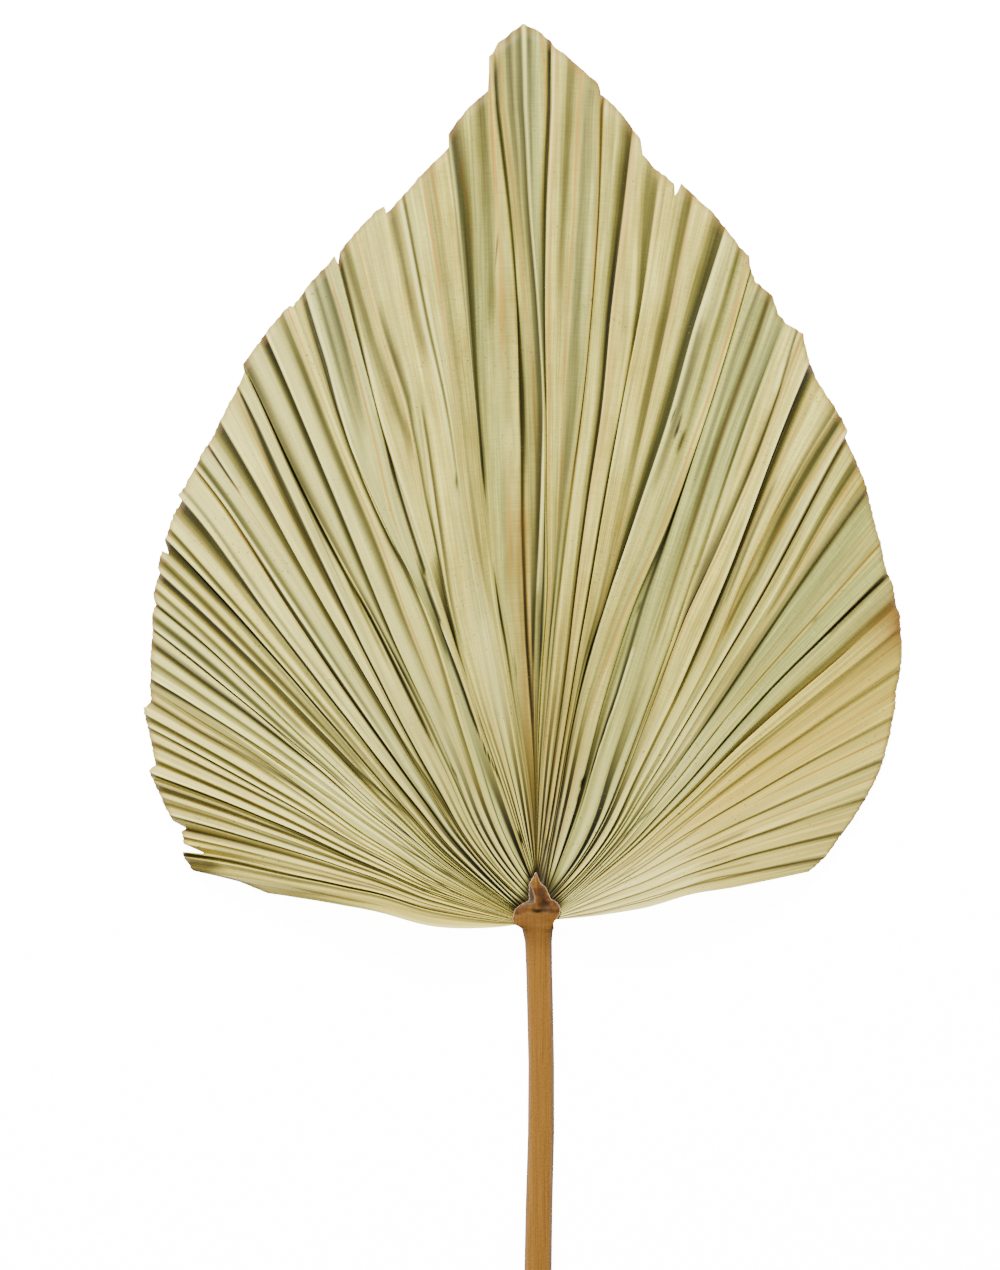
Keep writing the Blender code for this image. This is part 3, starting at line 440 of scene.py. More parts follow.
def squeeze(spread, free):
    """How many times narrower marks are drawn where the lines turn apart by more than a free spread."""
    return np.clip(spread / free, 1, 9)


def strongest(layers):
    """The greatest of several layers at each place."""
    return reduce(np.maximum, layers)


def cubic(here, there, out, into, t):
    """The cubic from here to there, for t from 0 to 1, with slope out at its start and into at its end."""
    return (here * (2 * t ** 3 - 3 * t ** 2 + 1) + out * (t ** 3 - 2 * t ** 2 + t)
            + there * (3 * t ** 2 - 2 * t ** 3) + into * (t ** 3 - t ** 2))


def value_noise(x, y, seed):
    """Smooth noise from -1 to 1: random values on whole numbers, eased between by 3t^2 - 2t^3."""
    values = np.random.default_rng(seed).uniform(-1, 1, (64, 64))
    x0, y0 = np.floor(x).astype(int), np.floor(y).astype(int)
    tx, ty = [t * t * (3 - 2 * t) for t in (x - x0, y - y0)]
    corner = values[x0 % 64, y0 % 64] * (1 - tx) + values[(x0 + 1) % 64, y0 % 64] * tx
    across = values[x0 % 64, (y0 + 1) % 64] * (1 - tx) + values[(x0 + 1) % 64, (y0 + 1) % 64] * tx
    return corner * (1 - ty) + across * ty


def polar(angles, distance):
    """Points at angles from the tip, in degrees clockwise, and at distances from the fan's middle."""
    turn = np.radians(angles)
    return np.stack([np.sin(turn), np.cos(turn)], axis=-1) * distance


def pleat_heights(lines, ends, edge_heights):
    """Height across the pleats of a sheet, with sharp crests and round troughs, and nearness to a crest.

    Between a crest and a trough the height is trough + (crest - trough) * n ** TROUGH_POWER, where the
    nearness n falls from 1 at the crest to 0 at the trough.
    """
    angles = np.clip(lines, *ends)
    knots, heights = [ends[0]], [edge_heights[0]]
    for start, end, climb in PLEATS:
        if start > ends[0] + 0.1 and end < ends[1] - 0.05:
            knots += [start, end]
            heights += [-climb / 2, climb / 2]
    knots = np.array(knots + [ends[1]])
    heights = np.array(heights + [edge_heights[1]])
    place = np.clip(np.searchsorted(knots, angles, side="right") - 1, 0, len(knots) - 2)
    here, there = heights[place], heights[place + 1]
    t = (angles - knots[place]) / (knots[place + 1] - knots[place])
    nearness = np.clip(np.where(here > there, 1 - t, t), 0, 1)
    return np.minimum(here, there) + np.abs(there - here) * nearness ** TROUGH_POWER, nearness


def path_angles(lines, distance):
    """Angle of each line at each distance: PATHS read straight across lines, and along them as a cubic.

    The cubic's slope at each distance of the table is the mean slope of its two neighbours.
    """
    marks = np.array(PATH_DISTANCES, dtype=float)
    rows = np.stack([lookup(PATH_ROWS, lines, column) for column in range(1, len(marks) + 1)])
    slopes = np.gradient(rows, marks, axis=0)
    place = np.clip(np.searchsorted(marks, distance) - 1, 0, len(marks) - 2)
    step = marks[place + 1] - marks[place]
    t = np.clip((distance - marks[place]) / step, 0, 1)
    column = np.arange(len(lines))[None] + place * 0
    return cubic(rows[place, column], rows[place + 1, column],
                 slopes[place, column] * step, slopes[place + 1, column] * step, t)


def fan_plan(lines, reach, s):
    """Plan of the lines. Beyond the first table distance they follow PATHS, and inside it each is a
    cubic that leaves the shield's edge and meets its path there with the same slope."""
    first = PATH_DISTANCES[0]
    distance = reach * s
    outer = polar(path_angles(lines, np.maximum(distance, first)), distance[..., None])
    meet, ahead = [polar(path_angles(lines, np.full((1, len(lines)), far))[0], far)
                   for far in (first, first + 1.0)]
    slope = (ahead - meet) * first
    neck = np.stack([lookup(NECK, lines, 1), lookup(NECK, lines, 2)], axis=-1)
    start = 1.6 * (meet - neck) - 0.6 * slope
    inner = cubic(neck, meet, start, slope, np.clip(distance / first, 0, 1)[..., None])
    return np.where(distance[..., None] < first, inner, outer)


def fan_lines(first, last):
    """Angles of a sheet's grid lines: evenly over it, wherever the paths spread, and at each fold."""
    wanted = [[first, last], np.arange(first, last, COLUMN_STEP)]
    for here, there in zip(PATH_ROWS[:-1], PATH_ROWS[1:]):
        widest = np.max(np.abs(there[3:] - here[3:]))
        wanted.append(np.linspace(here[0], there[0], 2 + int(widest / 0.3)))
    for start, end, climb in PLEATS:
        wanted.append([start, end])
    for fold in FOLDS:
        for share, angle, left, right, strength in fold[:3]:
            wanted.append([angle, angle - min(left, 12) / 100, angle + min(right, 12) / 100])
    lines = np.unique(np.concatenate(wanted))
    lines = lines[(lines >= first) & (lines <= last)]
    kept = [lines[0]]
    for angle in lines[1:-1]:
        if angle - kept[-1] > CLOSEST and last - angle > CLOSEST:
            kept.append(angle)
    return np.array(kept + [lines[-1]])


def fan_sheet(lines, ends, heights):
    """Upper face of one sheet: an array of rows from neck to rim, of points along the fold lines.

    Along a line, s runs from 0 at the neck to 1 at the rim. Height is a straight fall from the neck to
    the rim plus an arch of 4s(1-s), plus the pleat height, which grows with s, less the gaps. Past an
    edge that runs on under its neighbour, a sheet sinks by LAP_DEPTH.
    """
    s = np.linspace(0, 1, ROW_COUNT + 1)[:, None] ** ROW_POWER + lines * 0
    plan = fan_plan(lines, lookup(RIM, lines) + FRAY * value_noise(lines * 3.1, lines * 0 + 2.5, 5), s)
    sway = SWAY * value_noise(lines / 2.6, s * 5.5, 11) * np.sin(math.pi * s) ** 0.7
    plan = plan + sway[..., None] * polar(lines + 90, 1)
    arch = BASE_HEIGHT * (1 - s) + lookup(RIM_HEIGHT, lines) * s + CROWN * 4 * s * (1 - s)
    gaps = strongest(bell(lines, angle, half) * ramp(s, inner, inner + 0.06) * ramp(s, outer, outer - 0.12)
                     for angle, inner, outer, half in GAPS)
    relief = BASE_RELIEF + (1 - BASE_RELIEF) * s ** RELIEF_POWER
    z = arch + (heights - GAP_DEPTH * gaps) * relief + WAVE * value_noise(lines * 0.9, s * 7, 23) * s
    z -= LAP_DEPTH * ramp(np.maximum(ends[0] - lines, lines - ends[1]), 0, LAP_BLEND)
    return np.concatenate([plan, z[..., None]], axis=-1), s


def underside(top):
    """The leaf's lower face, straight below the upper one.

    The drop is the leaf's thickness over the upward part of the local normal, so steep sides keep
    their thickness. Where the leaf would pass the table, its upper face is raised to that drop.
    """
    normal = np.cross(np.gradient(top, axis=1), np.gradient(top, axis=0))
    upward = np.abs(normal[..., 2]) / np.maximum(np.linalg.norm(normal, axis=-1), 1e-9)
    drop = LEAF_THICKNESS / np.maximum(upward, STEEPEST)
    top[..., 2] = np.maximum(top[..., 2], drop)
    return np.concatenate([top[..., :2], (top[..., 2] - drop)[..., None]], axis=-1)


def add_object(name, data):
    """A new object in the scene."""
    thing = bpy.data.objects.new(name, data)
    bpy.context.scene.collection.objects.link(thing)
    return thing


def closed_sheet(name, top, under):
    """Two grids of points, one over the other, joined into a closed skin round their edges."""
    rows, columns = top.shape[:2]
    points = (np.concatenate([top.reshape(-1, 3), under.reshape(-1, 3)]) + FAN_MIDDLE) * MM
    index = np.arange(rows * columns).reshape(rows, columns)
    quads = np.stack([index[:-1, :-1], index[:-1, 1:], index[1:, 1:], index[1:, :-1]], axis=-1).reshape(-1, 4)
    low = quads[:, ::-1] + rows * columns
    ring = np.concatenate([index[0, :-1], index[:-1, -1], index[-1, :0:-1], index[:0:-1, 0]])
    after = np.roll(ring, -1)
    walls = np.stack([after, ring, ring + rows * columns, after + rows * columns], axis=-1)
    mesh = bpy.data.meshes.new(name)
    mesh.from_pydata(points.tolist(), [], np.concatenate([quads, low, walls]).tolist())
    mesh.update()
    mesh.shade_smooth()
    return add_object(name, mesh)


def store(mesh, u, v, layers):
    """Store a UV map, and one number a vertex for each layer, the same on the upper and the lower face."""
    for name, values in layers.items():
        layer = mesh.attributes.new(name, "FLOAT", "POINT")
        layer.data.foreach_set("value", np.tile(values.ravel(), 2).astype(np.float32))
    flat = np.tile(np.stack([u.ravel(), v.ravel()], axis=-1), (2, 1))
    corners = np.empty(len(mesh.loops), dtype=np.int32)
    mesh.loops.foreach_get("vertex_index", corners)
    layer = mesh.uv_layers.new(name="fan")
    layer.data.foreach_set("uv", flat[corners].astype(np.float32).ravel())


def fold_shade(angles, s, spread):
    """How dark the painted shade in the folds is, and how bright the painted highlights on the crests
    beside their sharp edges are, at each grid point.

    A fold's dark is strength * exp(-(d / w)^2), with d the distance to its darkest line and w its left
    or right width, all read straight between its places. It fades out beyond its ends, unless it
    comes near the neck, and stays narrow where the lines spread.
    """
    dark = bright = angles * 0
    share = s[:, :1]
    for fold in FOLDS:
        places = np.array(fold)[::-1] / (100, 1, 100, 100, 100)
        middle, left, right, strength = [lookup(places, share, column) for column in (1, 2, 3, 4)]
        inner, outer = places[0, 0], places[-1, 0]
        ends = np.maximum(ramp(share, inner - 0.04, inner), 0.8 * (inner < 0.3))
        ends = ends * ramp(share, outer + 0.03, outer)
        off = (angles - middle) * squeeze(spread, 1.4)
        width = 1.1 * np.clip(share / 0.3, 0.55, 1) * np.where(off < 0, left, right)
        dark = np.maximum(dark, bell(off, 0, width) * strength * FOLD_STRENGTH * ends)
        for side, reach, sharpest in ((off, right, SHARP_RIGHT), (-off, left, SHARP_LEFT)):
            sharp = (reach <= sharpest) * np.clip(strength / 0.6, 0, 1)
            bright = np.maximum(bright, sharp * ends * bell(side, reach + HIGHLIGHT_OFFSET, HIGHLIGHT_WIDTH))
    dark = dark * (1 - 0.25 * ramp(angles, -57, -60)) * lookup(DARKNESS, angles)
    dark = dark * (1 - 0.5 * ramp(s, 0.45, 0.6) * bell(angles, -8.4, 3.4, 4))
    return dark, bright * np.clip(1 - dark, 0, 1)


def neck_shade(nearness, distance, angles, spread, out):
    """Painted shade and painted highlights in lines where the pleats crowd at the neck, fading out with
    distance.

    The painted shade fills in below a level of nearness, less where the lines spread, and the painted
    highlight lies on the crest. Beside the shield, at a distance out along the line near 0, all of it is
    dark: painted shadow of the shield, reaching further out on its right.
    """
    reach = 48 - 16 * ramp(angles, 30, 45) + 14 * bell(angles, 6, 14)
    strength = 1 - 0.8 * ramp(angles, 38, 48) - 0.85 * ramp(angles, -48.5, -51.5)
    strength = strength * (1 - 0.55 * bell(angles, -4.2, 3, 4) + 0.5 * bell(angles, 22, 6))
    fade = bell(distance, 0, reach) * (1 + 0.5 * bell(distance, 0, 24))
    level = 0.56 + 0.14 * bell(angles, 22, 6)
    fill = ramp(nearness * squeeze(spread, 1.8), level, level - 0.24)
    # Painted shadow where the shield lies on the leaf, reaching further out on its right
    close = 0.9 * bell(out, 0, 4) * bell(angles, 0, 52, 6)
    beside = 0.75 * bell(out, 0, 9) * bell(angles, 14, 16, 4)
    # Painted highlight on the crests near the neck
    near = ramp(nearness, 0.55, 0.8) * bell(distance, 0, 62) * (1 - 0.5 * bell(angles, -57, 7, 4))
    return strongest([1.45 * fill * fade * strength, close, beside]), near


def crack_mark(x, y, x0, y0, half_width, half_length, strength):
    """How dark one crack is: a bell across it and a bell along it, pointing from the fan's middle."""
    away = math.hypot(x0, y0)
    across = ((x - x0) * y0 - (y - y0) * x0) / away
    along = ((x - x0) * x0 + (y - y0) * y0) / away
    return strength * bell(across, 0, half_width) * bell(along, 0, half_length)


def rib_line(angles, s, spread, rim_angle, middle_angle, end, strength):
    """Strength of an orange rib: a bell across it, fading out beyond its end."""
    off = angles - rim_angle - (middle_angle - rim_angle) * (1 - s) / 0.5
    return strength * bell(off * squeeze(spread, 1), 0, RIB_WIDTH) * ramp(s, end - 0.08, end)


def build_sheet(name, ends, edge_heights, laps):
    """One sheet of the fan with the layers that its material reads.

    They are the painted shade of the folds and neck with the dark of the cracks, the painted shadow
    beside the shield, the orange ribs, green and gold stretches, painted highlights on the crests with broad
    paler stretches, the warm brown near the neck, a grey stain, the open blade beyond the neck, and the brown
    rim.
    """
    lines = fan_lines(ends[0] - LAP_ANGLE * laps[0], ends[1] + LAP_ANGLE * laps[1])
    heights, nearness = pleat_heights(lines, ends, edge_heights)
    top, s = fan_sheet(lines, ends, heights)
    piece = closed_sheet(name, top, underside(top))
    grid = lines + s * 0
    x, y = top[..., 0], top[..., 1]
    distance = np.hypot(x, y)
    turn = np.degrees(np.arctan2(x, y))
    spread = np.abs(np.gradient(turn, lines, axis=1))
    rim_distance = lookup(RIM, lines)
    folds, crests = fold_shade(grid, s, spread)
    necks, near = neck_shade(nearness, distance, grid, spread, s * rim_distance)
    pale = strongest([
        0.85 * bell(turn, -64, 18) * bell(distance, 75, 55, 4),
        0.85 * ramp(turn, 55, 69) * bell(distance, 30, 45, 4),
        0.6 * bell(turn, 40, 9) * bell(distance, 78, 26),
        0.5 * bell(turn, -11, 3.5) * bell(distance, 95, 45),
        0.5 * bell(turn, -46, 30, 4), 0.35 * ramp(turn, 60, 68)])
    # The crest layer: painted highlights beside the folds' sharp edges and on the crests at the neck, with
    # the broad paler stretches where there is no painted fold shade
    crests = strongest([crests, near * (1 - necks), pale * np.clip(1 - folds, 0, 1)])
    ribs = strongest(rib_line(grid, s, spread, *rib) for rib in RIBS)
    green = strongest(strength * ramp(grid, start - GREEN_BLEND, start + GREEN_BLEND)
                      * ramp(grid, end + GREEN_BLEND, end - GREEN_BLEND) for start, end, strength in GREEN)
    warm = np.clip(0.5 + 1.1 * value_noise(turn * 0.33, distance / 60, 43), 0.15, 1)
    warm = 0.5 * warm * bell(distance, 0, 62 + 20 * value_noise(grid / 4, s * 3, 44))
    centre = np.maximum(1.2 * bell(turn, -2.2, 3), 0.7 * bell(turn, 7, 10)) * bell(distance, 0, 130, 3)
    centre = centre * (0.65 + 0.5 * value_noise(turn * 0.9, distance / 60, 47))
    corners = 0.45 * (ramp(grid, 78, 82) + ramp(grid, -84.5, -86.5)) * bell(distance, 12, 22)
    spear = 0.9 * bell(grid, -2.7, 0.35) * ramp(s, 0.5, 0.45)
    stain = bell(turn, 9, 7) * bell(distance, 22, 24, 4)
    inward = 1 - s
    # shade holds the painted shade of the folds and neck, the painted shadow beside the shield and the dark
    # of the cracks; crest holds the painted highlights and the broad paler stretches
    store(piece.data, grid / 10, distance / 100, {
        "shade": strongest([folds * (0.92 + 0.16 * value_noise(grid * 1.7, s * 9, 31)), necks,
                            *[crack_mark(x, y, *mark) for mark in MARKS]]),
        "rib": ribs * (0.9 + 0.3 * value_noise(grid * 2.3, s * 9, 37)),
        "green": green * (0.85 + 0.5 * value_noise(grid * 0.6, s * 4, 41)),
        "gold": np.maximum(ramp(grid, 48, 56) * np.clip(1.15 - s * 0.35, 0, 1), 0.55 * ramp(grid, -58, -66)),
        "crest": crests * (1 - 0.8 * np.clip(centre * 1.3 + warm * 0.7, 0, 1)),
        "warm": strongest([warm * (1 - 0.5 * ramp(np.abs(grid), 45, 65)), centre, corners, spear]),
        "stain": np.clip(1.3 * stain * (0.7 + 0.9 * value_noise(turn * 0.8, distance / 5, 48)), 0, 1),
        "open": ramp(distance, 18, 78) * (1 - 0.45 * ramp(grid, 50, 58)),
        "rim": np.maximum(0.5 * np.exp(-inward * rim_distance / 1.2),
                          1.2 * np.exp(-inward * 200 / 14) * bell(grid, 51.5, 3.2))})
    return piece


def add_node(tree, kind, inputs, output=0, **settings):
    """Add a shader node and give one of its outputs.

    Each input is another node's output, a number, or a linear RGB triple.
    """
    node = tree.nodes.new("ShaderNode" + kind)
    for label, value in settings.items():
        setattr(node, label, value)
    for place, value in inputs.items():
        if isinstance(value, tuple):
            node.inputs[place].default_value = (*value, 1.0)
        elif isinstance(value, (int, float)):
            node.inputs[place].default_value = value
        else:
            tree.links.new(value, node.inputs[place])
    return node.outputs[output]


def multiply(tree, first, second):
    """The product of two values."""
    return add_node(tree, "Math", {0: first, 1: second}, operation="MULTIPLY")


def added(tree, first, first_share, second, second_share):
    """The sum of a share of each of two values."""
    return add_node(tree, "Math", {0: multiply(tree, first, first_share),
                                   1: multiply(tree, second, second_share)}, operation="ADD")


def mix_colour(tree, factor, first, second, blend="MIX"):
    """A colour Mix node."""
    return add_node(tree, "Mix", {0: factor, 6: first, 7: second}, 2,
                    data_type="RGBA", blend_type=blend, clamp_factor=True)


def noise_node(tree, vector, scale, detail, roughness):
    """A Noise Texture node's value."""
    return add_node(tree, "TexNoise", {"Vector": vector, "Scale": scale, "Detail": detail,
                                       "Roughness": roughness})


def range_node(tree, value, low, high, to_low=0.0, to_high=1.0):
    """A clamped Map Range node."""
    return add_node(tree, "MapRange", {"Value": value, "From Min": low, "From Max": high,
                                       "To Min": to_low, "To Max": to_high}, clamp=True)


def darkened(tree, colour, value):
    """A colour multiplied by one value."""
    tone = add_node(tree, "CombineColor", {0: value, 1: value, 2: value})
    return mix_colour(tree, 1.0, colour, tone, "MULTIPLY")


def stored(tree, name, factor=1.0):
    """A stored value of the mesh, times a factor."""
    value = add_node(tree, "Attribute", {}, "Fac", attribute_name=name)
    return value if factor == 1.0 else multiply(tree, value, factor)


def fibre_group():
    """Dry plant fibre. Fine veins run along v, with a faint grain across them and dark flecks.

    Vector is a map whose x crosses the fibres. Position is the object's own, for the flecks.
    """
    tree = bpy.data.node_groups.new("dry_fibre", "ShaderNodeTree")
    for label, kind in (("Vector", "Vector"), ("Position", "Vector"), ("Veins", "Float"), ("Grain", "Float")):
        tree.interface.new_socket(label, in_out="INPUT", socket_type="NodeSocket" + kind)
    for label in ("Veins", "Streaks", "Grain", "Flecks", "Cloud", "Height"):
        tree.interface.new_socket(label, in_out="OUTPUT", socket_type="NodeSocketFloat")
    given = tree.nodes.new("NodeGroupInput").outputs
    result = tree.nodes.new("NodeGroupOutput").inputs
    split = tree.nodes.new("ShaderNodeSeparateXYZ")
    tree.links.new(given["Vector"], split.inputs[0])

    def stretched(x_scale, y_scale, detail, roughness):
        across, along = multiply(tree, split.outputs[0], x_scale), multiply(tree, split.outputs[1], y_scale)
        return noise_node(tree, add_node(tree, "CombineXYZ", {0: across, 1: along}), 1.0, detail, roughness)

    veins = stretched(given["Veins"], 2.2, 2.0, 0.7)
    grain = stretched(given["Grain"], 130.0, 3.0, 0.7)
    fleck = range_node(tree, noise_node(tree, given["Position"], 900.0, 1.0, 0.5), 0.66, 0.74)
    where = range_node(tree, noise_node(tree, given["Position"], 38.0, 2.0, 0.6), 0.45, 0.62)
    height = added(tree, veins, 0.8, grain, 0.35)
    tree.links.new(veins, result["Veins"])
    tree.links.new(grain, result["Grain"])
    tree.links.new(stretched(multiply(tree, given["Veins"], 0.33), 0.9, 2.0, 0.6), result["Streaks"])
    tree.links.new(multiply(tree, fleck, where), result["Flecks"])
    tree.links.new(stretched(4.0, 3.0, 3.0, 0.55), result["Cloud"])
    tree.links.new(height, result["Height"])
    return tree


FIBRE = fibre_group()
FIBRE_RELIEF = 0.0003


def new_material(name, veins, grain):
    """A new material with the fibre group on the mesh's UV map: it, its tree and the group's outputs."""
    material = bpy.data.materials.new(name)
    material.use_nodes = True
    tree = material.node_tree
    node = tree.nodes.new("ShaderNodeGroup")
    node.node_tree = FIBRE
    node.inputs["Veins"].default_value = veins
    node.inputs["Grain"].default_value = grain
    tree.links.new(add_node(tree, "UVMap", {}, uv_map="fan"), node.inputs["Vector"])
    tree.links.new(add_node(tree, "TexCoord", {}, "Object"), node.inputs["Position"])
    return material, tree, node.outputs


def dry_surface(tree, fibre, colour, low, high, specular, strength):
    """Give the shader its colour, a roughness between low and high, and the relief of the fibres."""
    shader = tree.nodes["Principled BSDF"].inputs
    tree.links.new(colour, shader["Base Color"])
    tree.links.new(range_node(tree, fibre["Cloud"], 0.3, 0.7, low, high), shader["Roughness"])
    shader["Specular IOR Level"].default_value = specular
    relief = add_node(tree, "Bump", {"Strength": strength, "Distance": FIBRE_RELIEF,
                                     "Height": fibre["Height"]})
    tree.links.new(relief, shader["Normal"])


STRAW = (0.46, 0.37, 0.058)
CREAM = (0.60, 0.53, 0.105)
# Colour of the painted highlights and of the broad paler stretches
PALE_HIGHLIGHT = (0.82, 0.77, 0.25)
SAGE = (0.34, 0.345, 0.085)
GOLD = (0.58, 0.43, 0.058)
OLIVE_SHADE = (0.40, 0.35, 0.07)
DEEPEST_PAINTED_SHADE = 0.03                # what painted shade leaves of the colour in the deepest fold
RIB_ORANGE = (0.42, 0.205, 0.014)
WARM_BROWN = (0.28, 0.13, 0.018)
STAIN_GREY = (0.09, 0.075, 0.04)
RIM_BROWN = (0.20, 0.10, 0.015)
BRIGHTEST_HIGHLIGHT = 0.75          # how much of the pale highlight colour and of the rib orange the strongest painted highlights and ribs take on
STRONGEST_RIB = 0.95


def darkened_by_painted_shade(tree, colour, shade):
    """A colour darkened by painted shade: times the deepest fold's remaining share to the power of shade."""
    return darkened(tree, colour, add_node(tree, "Math", {0: DEEPEST_PAINTED_SHADE, 1: shade}, operation="POWER"))


def leaf_material():
    """Dry leaf: straw to cream, green where it dried green, with orange ribs, painted olive shade in the
    folds and painted pale highlights on the crests.
    """
    material, tree, fibre = new_material("dry_leaf", 55.0, 9.0)
    colour = mix_colour(tree, range_node(tree, fibre["Cloud"], 0.35, 0.65), STRAW, CREAM)
    colour = mix_colour(tree, stored(tree, "green"), colour, SAGE)
    colour = mix_colour(tree, stored(tree, "gold"), colour, GOLD)
    warm = multiply(tree, stored(tree, "warm"), range_node(tree, fibre["Veins"], 0.3, 0.7, 0.6, 1.1))
    colour = mix_colour(tree, warm, colour, WARM_BROWN)
    veins = range_node(tree, fibre["Veins"], 0.36, 0.64, 0.72, 1.18)
    streaks = range_node(tree, fibre["Streaks"], 0.36, 0.64, 0.72, 1.18)
    grain = range_node(tree, fibre["Grain"], 0.34, 0.66, 0.88, 1.10)
    patterned = darkened(tree, colour, multiply(tree, multiply(tree, veins, streaks), grain))
    colour = mix_colour(tree, stored(tree, "open"), colour, patterned)
    shade = stored(tree, "shade")
    # Painted highlights on the crests, and the broad paler stretches
    colour = mix_colour(tree, stored(tree, "crest", BRIGHTEST_HIGHLIGHT), colour, PALE_HIGHLIGHT)
    colour = mix_colour(tree, stored(tree, "rib", STRONGEST_RIB), colour, RIB_ORANGE)
    # Painted shade in the folds and at the neck: an olive tint, then darkening
    colour = mix_colour(tree, multiply(tree, shade, 0.5), colour, OLIVE_SHADE)
    colour = darkened_by_painted_shade(tree, colour, shade)
    stain = multiply(tree, stored(tree, "stain"), range_node(tree, fibre["Cloud"], 0.4, 0.6))
    colour = mix_colour(tree, stain, colour, STAIN_GREY)
    colour = mix_colour(tree, stored(tree, "rim"), colour, RIM_BROWN)
    colour = mix_colour(tree, multiply(tree, fibre["Flecks"], 0.7), colour, STAIN_GREY)
    dry_surface(tree, fibre, colour, 0.50, 0.66, 0.18, stored(tree, "open", 0.35))
    return material


DRY_LEAF = leaf_material()
for fan_part in SHEETS:
    leaf_sheet = build_sheet(*fan_part)
    leaf_sheet.data.materials.append(DRY_LEAF)
    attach(leaf_sheet, "root")
    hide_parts("blade")

# The leaf stalk and its shield
# The stalk is solid, woody and brown, flat below and full above, and was cut square at its lower end.
# Where the pleats join it, it widens into a shield with a keel, a crease across and a torn, pale rim.
STALK_EDGES = [                 # distance along the leaf, left edge, right edge
    (-247, -4.9, 6.1), (-180, -4.6, 6.4), (-144.8, -5.1, 6), (-120, -4.6, 6.3), (-91, -3.7, 7),
    (-62.8, -3.5, 7), (-36.8, -4.1, 6.5), (-25.2, -4.4, 6.2), (-13.7, -4.9, 6.1), (-9.6, -5.8, 6.4),
    (-8.4, -6.1, 6.8), (-7.6, -7.2, 6.8), (-6.9, -8.6, 6.7), (-5.9, -9.5, 6.7), (-4.5, -9.75, 7.9),
    (-2.4, -9.5, 9.2), (-0.3, -8.7, 9.5), (1.1, -6.8, 8.8), (2, -5.2, 8.1), (2.9, -3.3, 7.1),
    (3.5, -3.2, 5.7), (5.6, -3.3, 4.7), (8.3, -3.2, 3.6), (9.6, -3.2, 1.7), (11.2, -2.3, 0.9),
    (12.5, -1.5, 0.4), (13.3, -1.1, 0.1), (14.3, -0.6, -0.4),
]
STALK_LEVELS = [                # distance along the leaf, underside, level of the edges, top
    (-247, 0, 3.4, 7.5), (-34, 0, 3.4, 7.6), (-16, 0.3, 3.8, 8.2), (-10, 0.8, 5.6, 8.9),
    (-7.6, 1, 8.2, 9.2), (0, 1.2, 8.5, 9.5), (8, 1.8, 8.6, 9.5), (14.3, 4, 8, 8.4),
]
CREASE = [(-7.3, -2.4), (-3.1, -1.1), (0.1, -1.3), (3.9, -1.1), (7.1, -1.9)]
KEEL = [(-1.3, 0.1), (5.0, 0.0), (9.0, -0.3), (14.3, -0.5)]
TORN_EDGE = [(1.6, -2.3), (2.1, -0.9), (4.5, -0.9), (7.2, -1.7), (9.9, -3.1)]
TORN_END = 9.9
TORN_DEPTH = 0.45
SHIELD_START = -8.0
SHIELD_BLEND = 1.5
SHIELD_TIP = 14.3
FLANGE_THICKNESS = 0.55         # of the shield beyond the stalk's body
BODY_HALF_WIDTH = 6.6
KEEL_HEIGHT = 0.75
CREASE_DEPTH = 0.10
LIP_HEIGHT = 0.30
LIP_WIDTH = 0.45
HOLLOW_DEPTH = 0.55             # right of the keel
FINE_START = -12.0              # where the rows begin to lie closer, for the shield
STALK_ROWS = 150                # in each of the two stretches
STALK_COLUMNS = 61
STALK_BROWN = (0.23, 0.095, 0.009)
STALK_DARK = (0.055, 0.022, 0.003)
STALK_PALE = (0.36, 0.17, 0.022)
SHIELD_BROWN = (0.085, 0.030, 0.005)
RIM_PINK = (0.55, 0.36, 0.22)
TORN_GREY = (0.055, 0.036, 0.02)


def stalk_grid():
    """Places over the stalk's upper face: y along it, x across it, share of the width from its middle,
    distance in from its edge, and whether on the shield."""
    along = np.concatenate([np.linspace(-STALK_LENGTH, FINE_START, STALK_ROWS)[:-1],
                            np.linspace(FINE_START, SHIELD_TIP, STALK_ROWS)])[:, None]
    shield = ramp(along, SHIELD_START, SHIELD_START + SHIELD_BLEND)
    ragged = 0.16 * value_noise(along * 1.9, along * 0 + 1.5, 61)
    ragged = ragged + 0.10 * value_noise(along * 5.0, along * 0, 62)
    left = lookup(STALK_EDGES, along, 1) + ragged * shield
    right = lookup(STALK_EDGES, along, 2) - 0.9 * ragged * shield
    width = np.sin(np.linspace(-1, 1, STALK_COLUMNS) * math.pi / 2)[None]
    x = (left + right) / 2 + width * (right - left) / 2
    return along + x * 0, x, width + along * 0, np.minimum(x - left, right - x), shield + x * 0


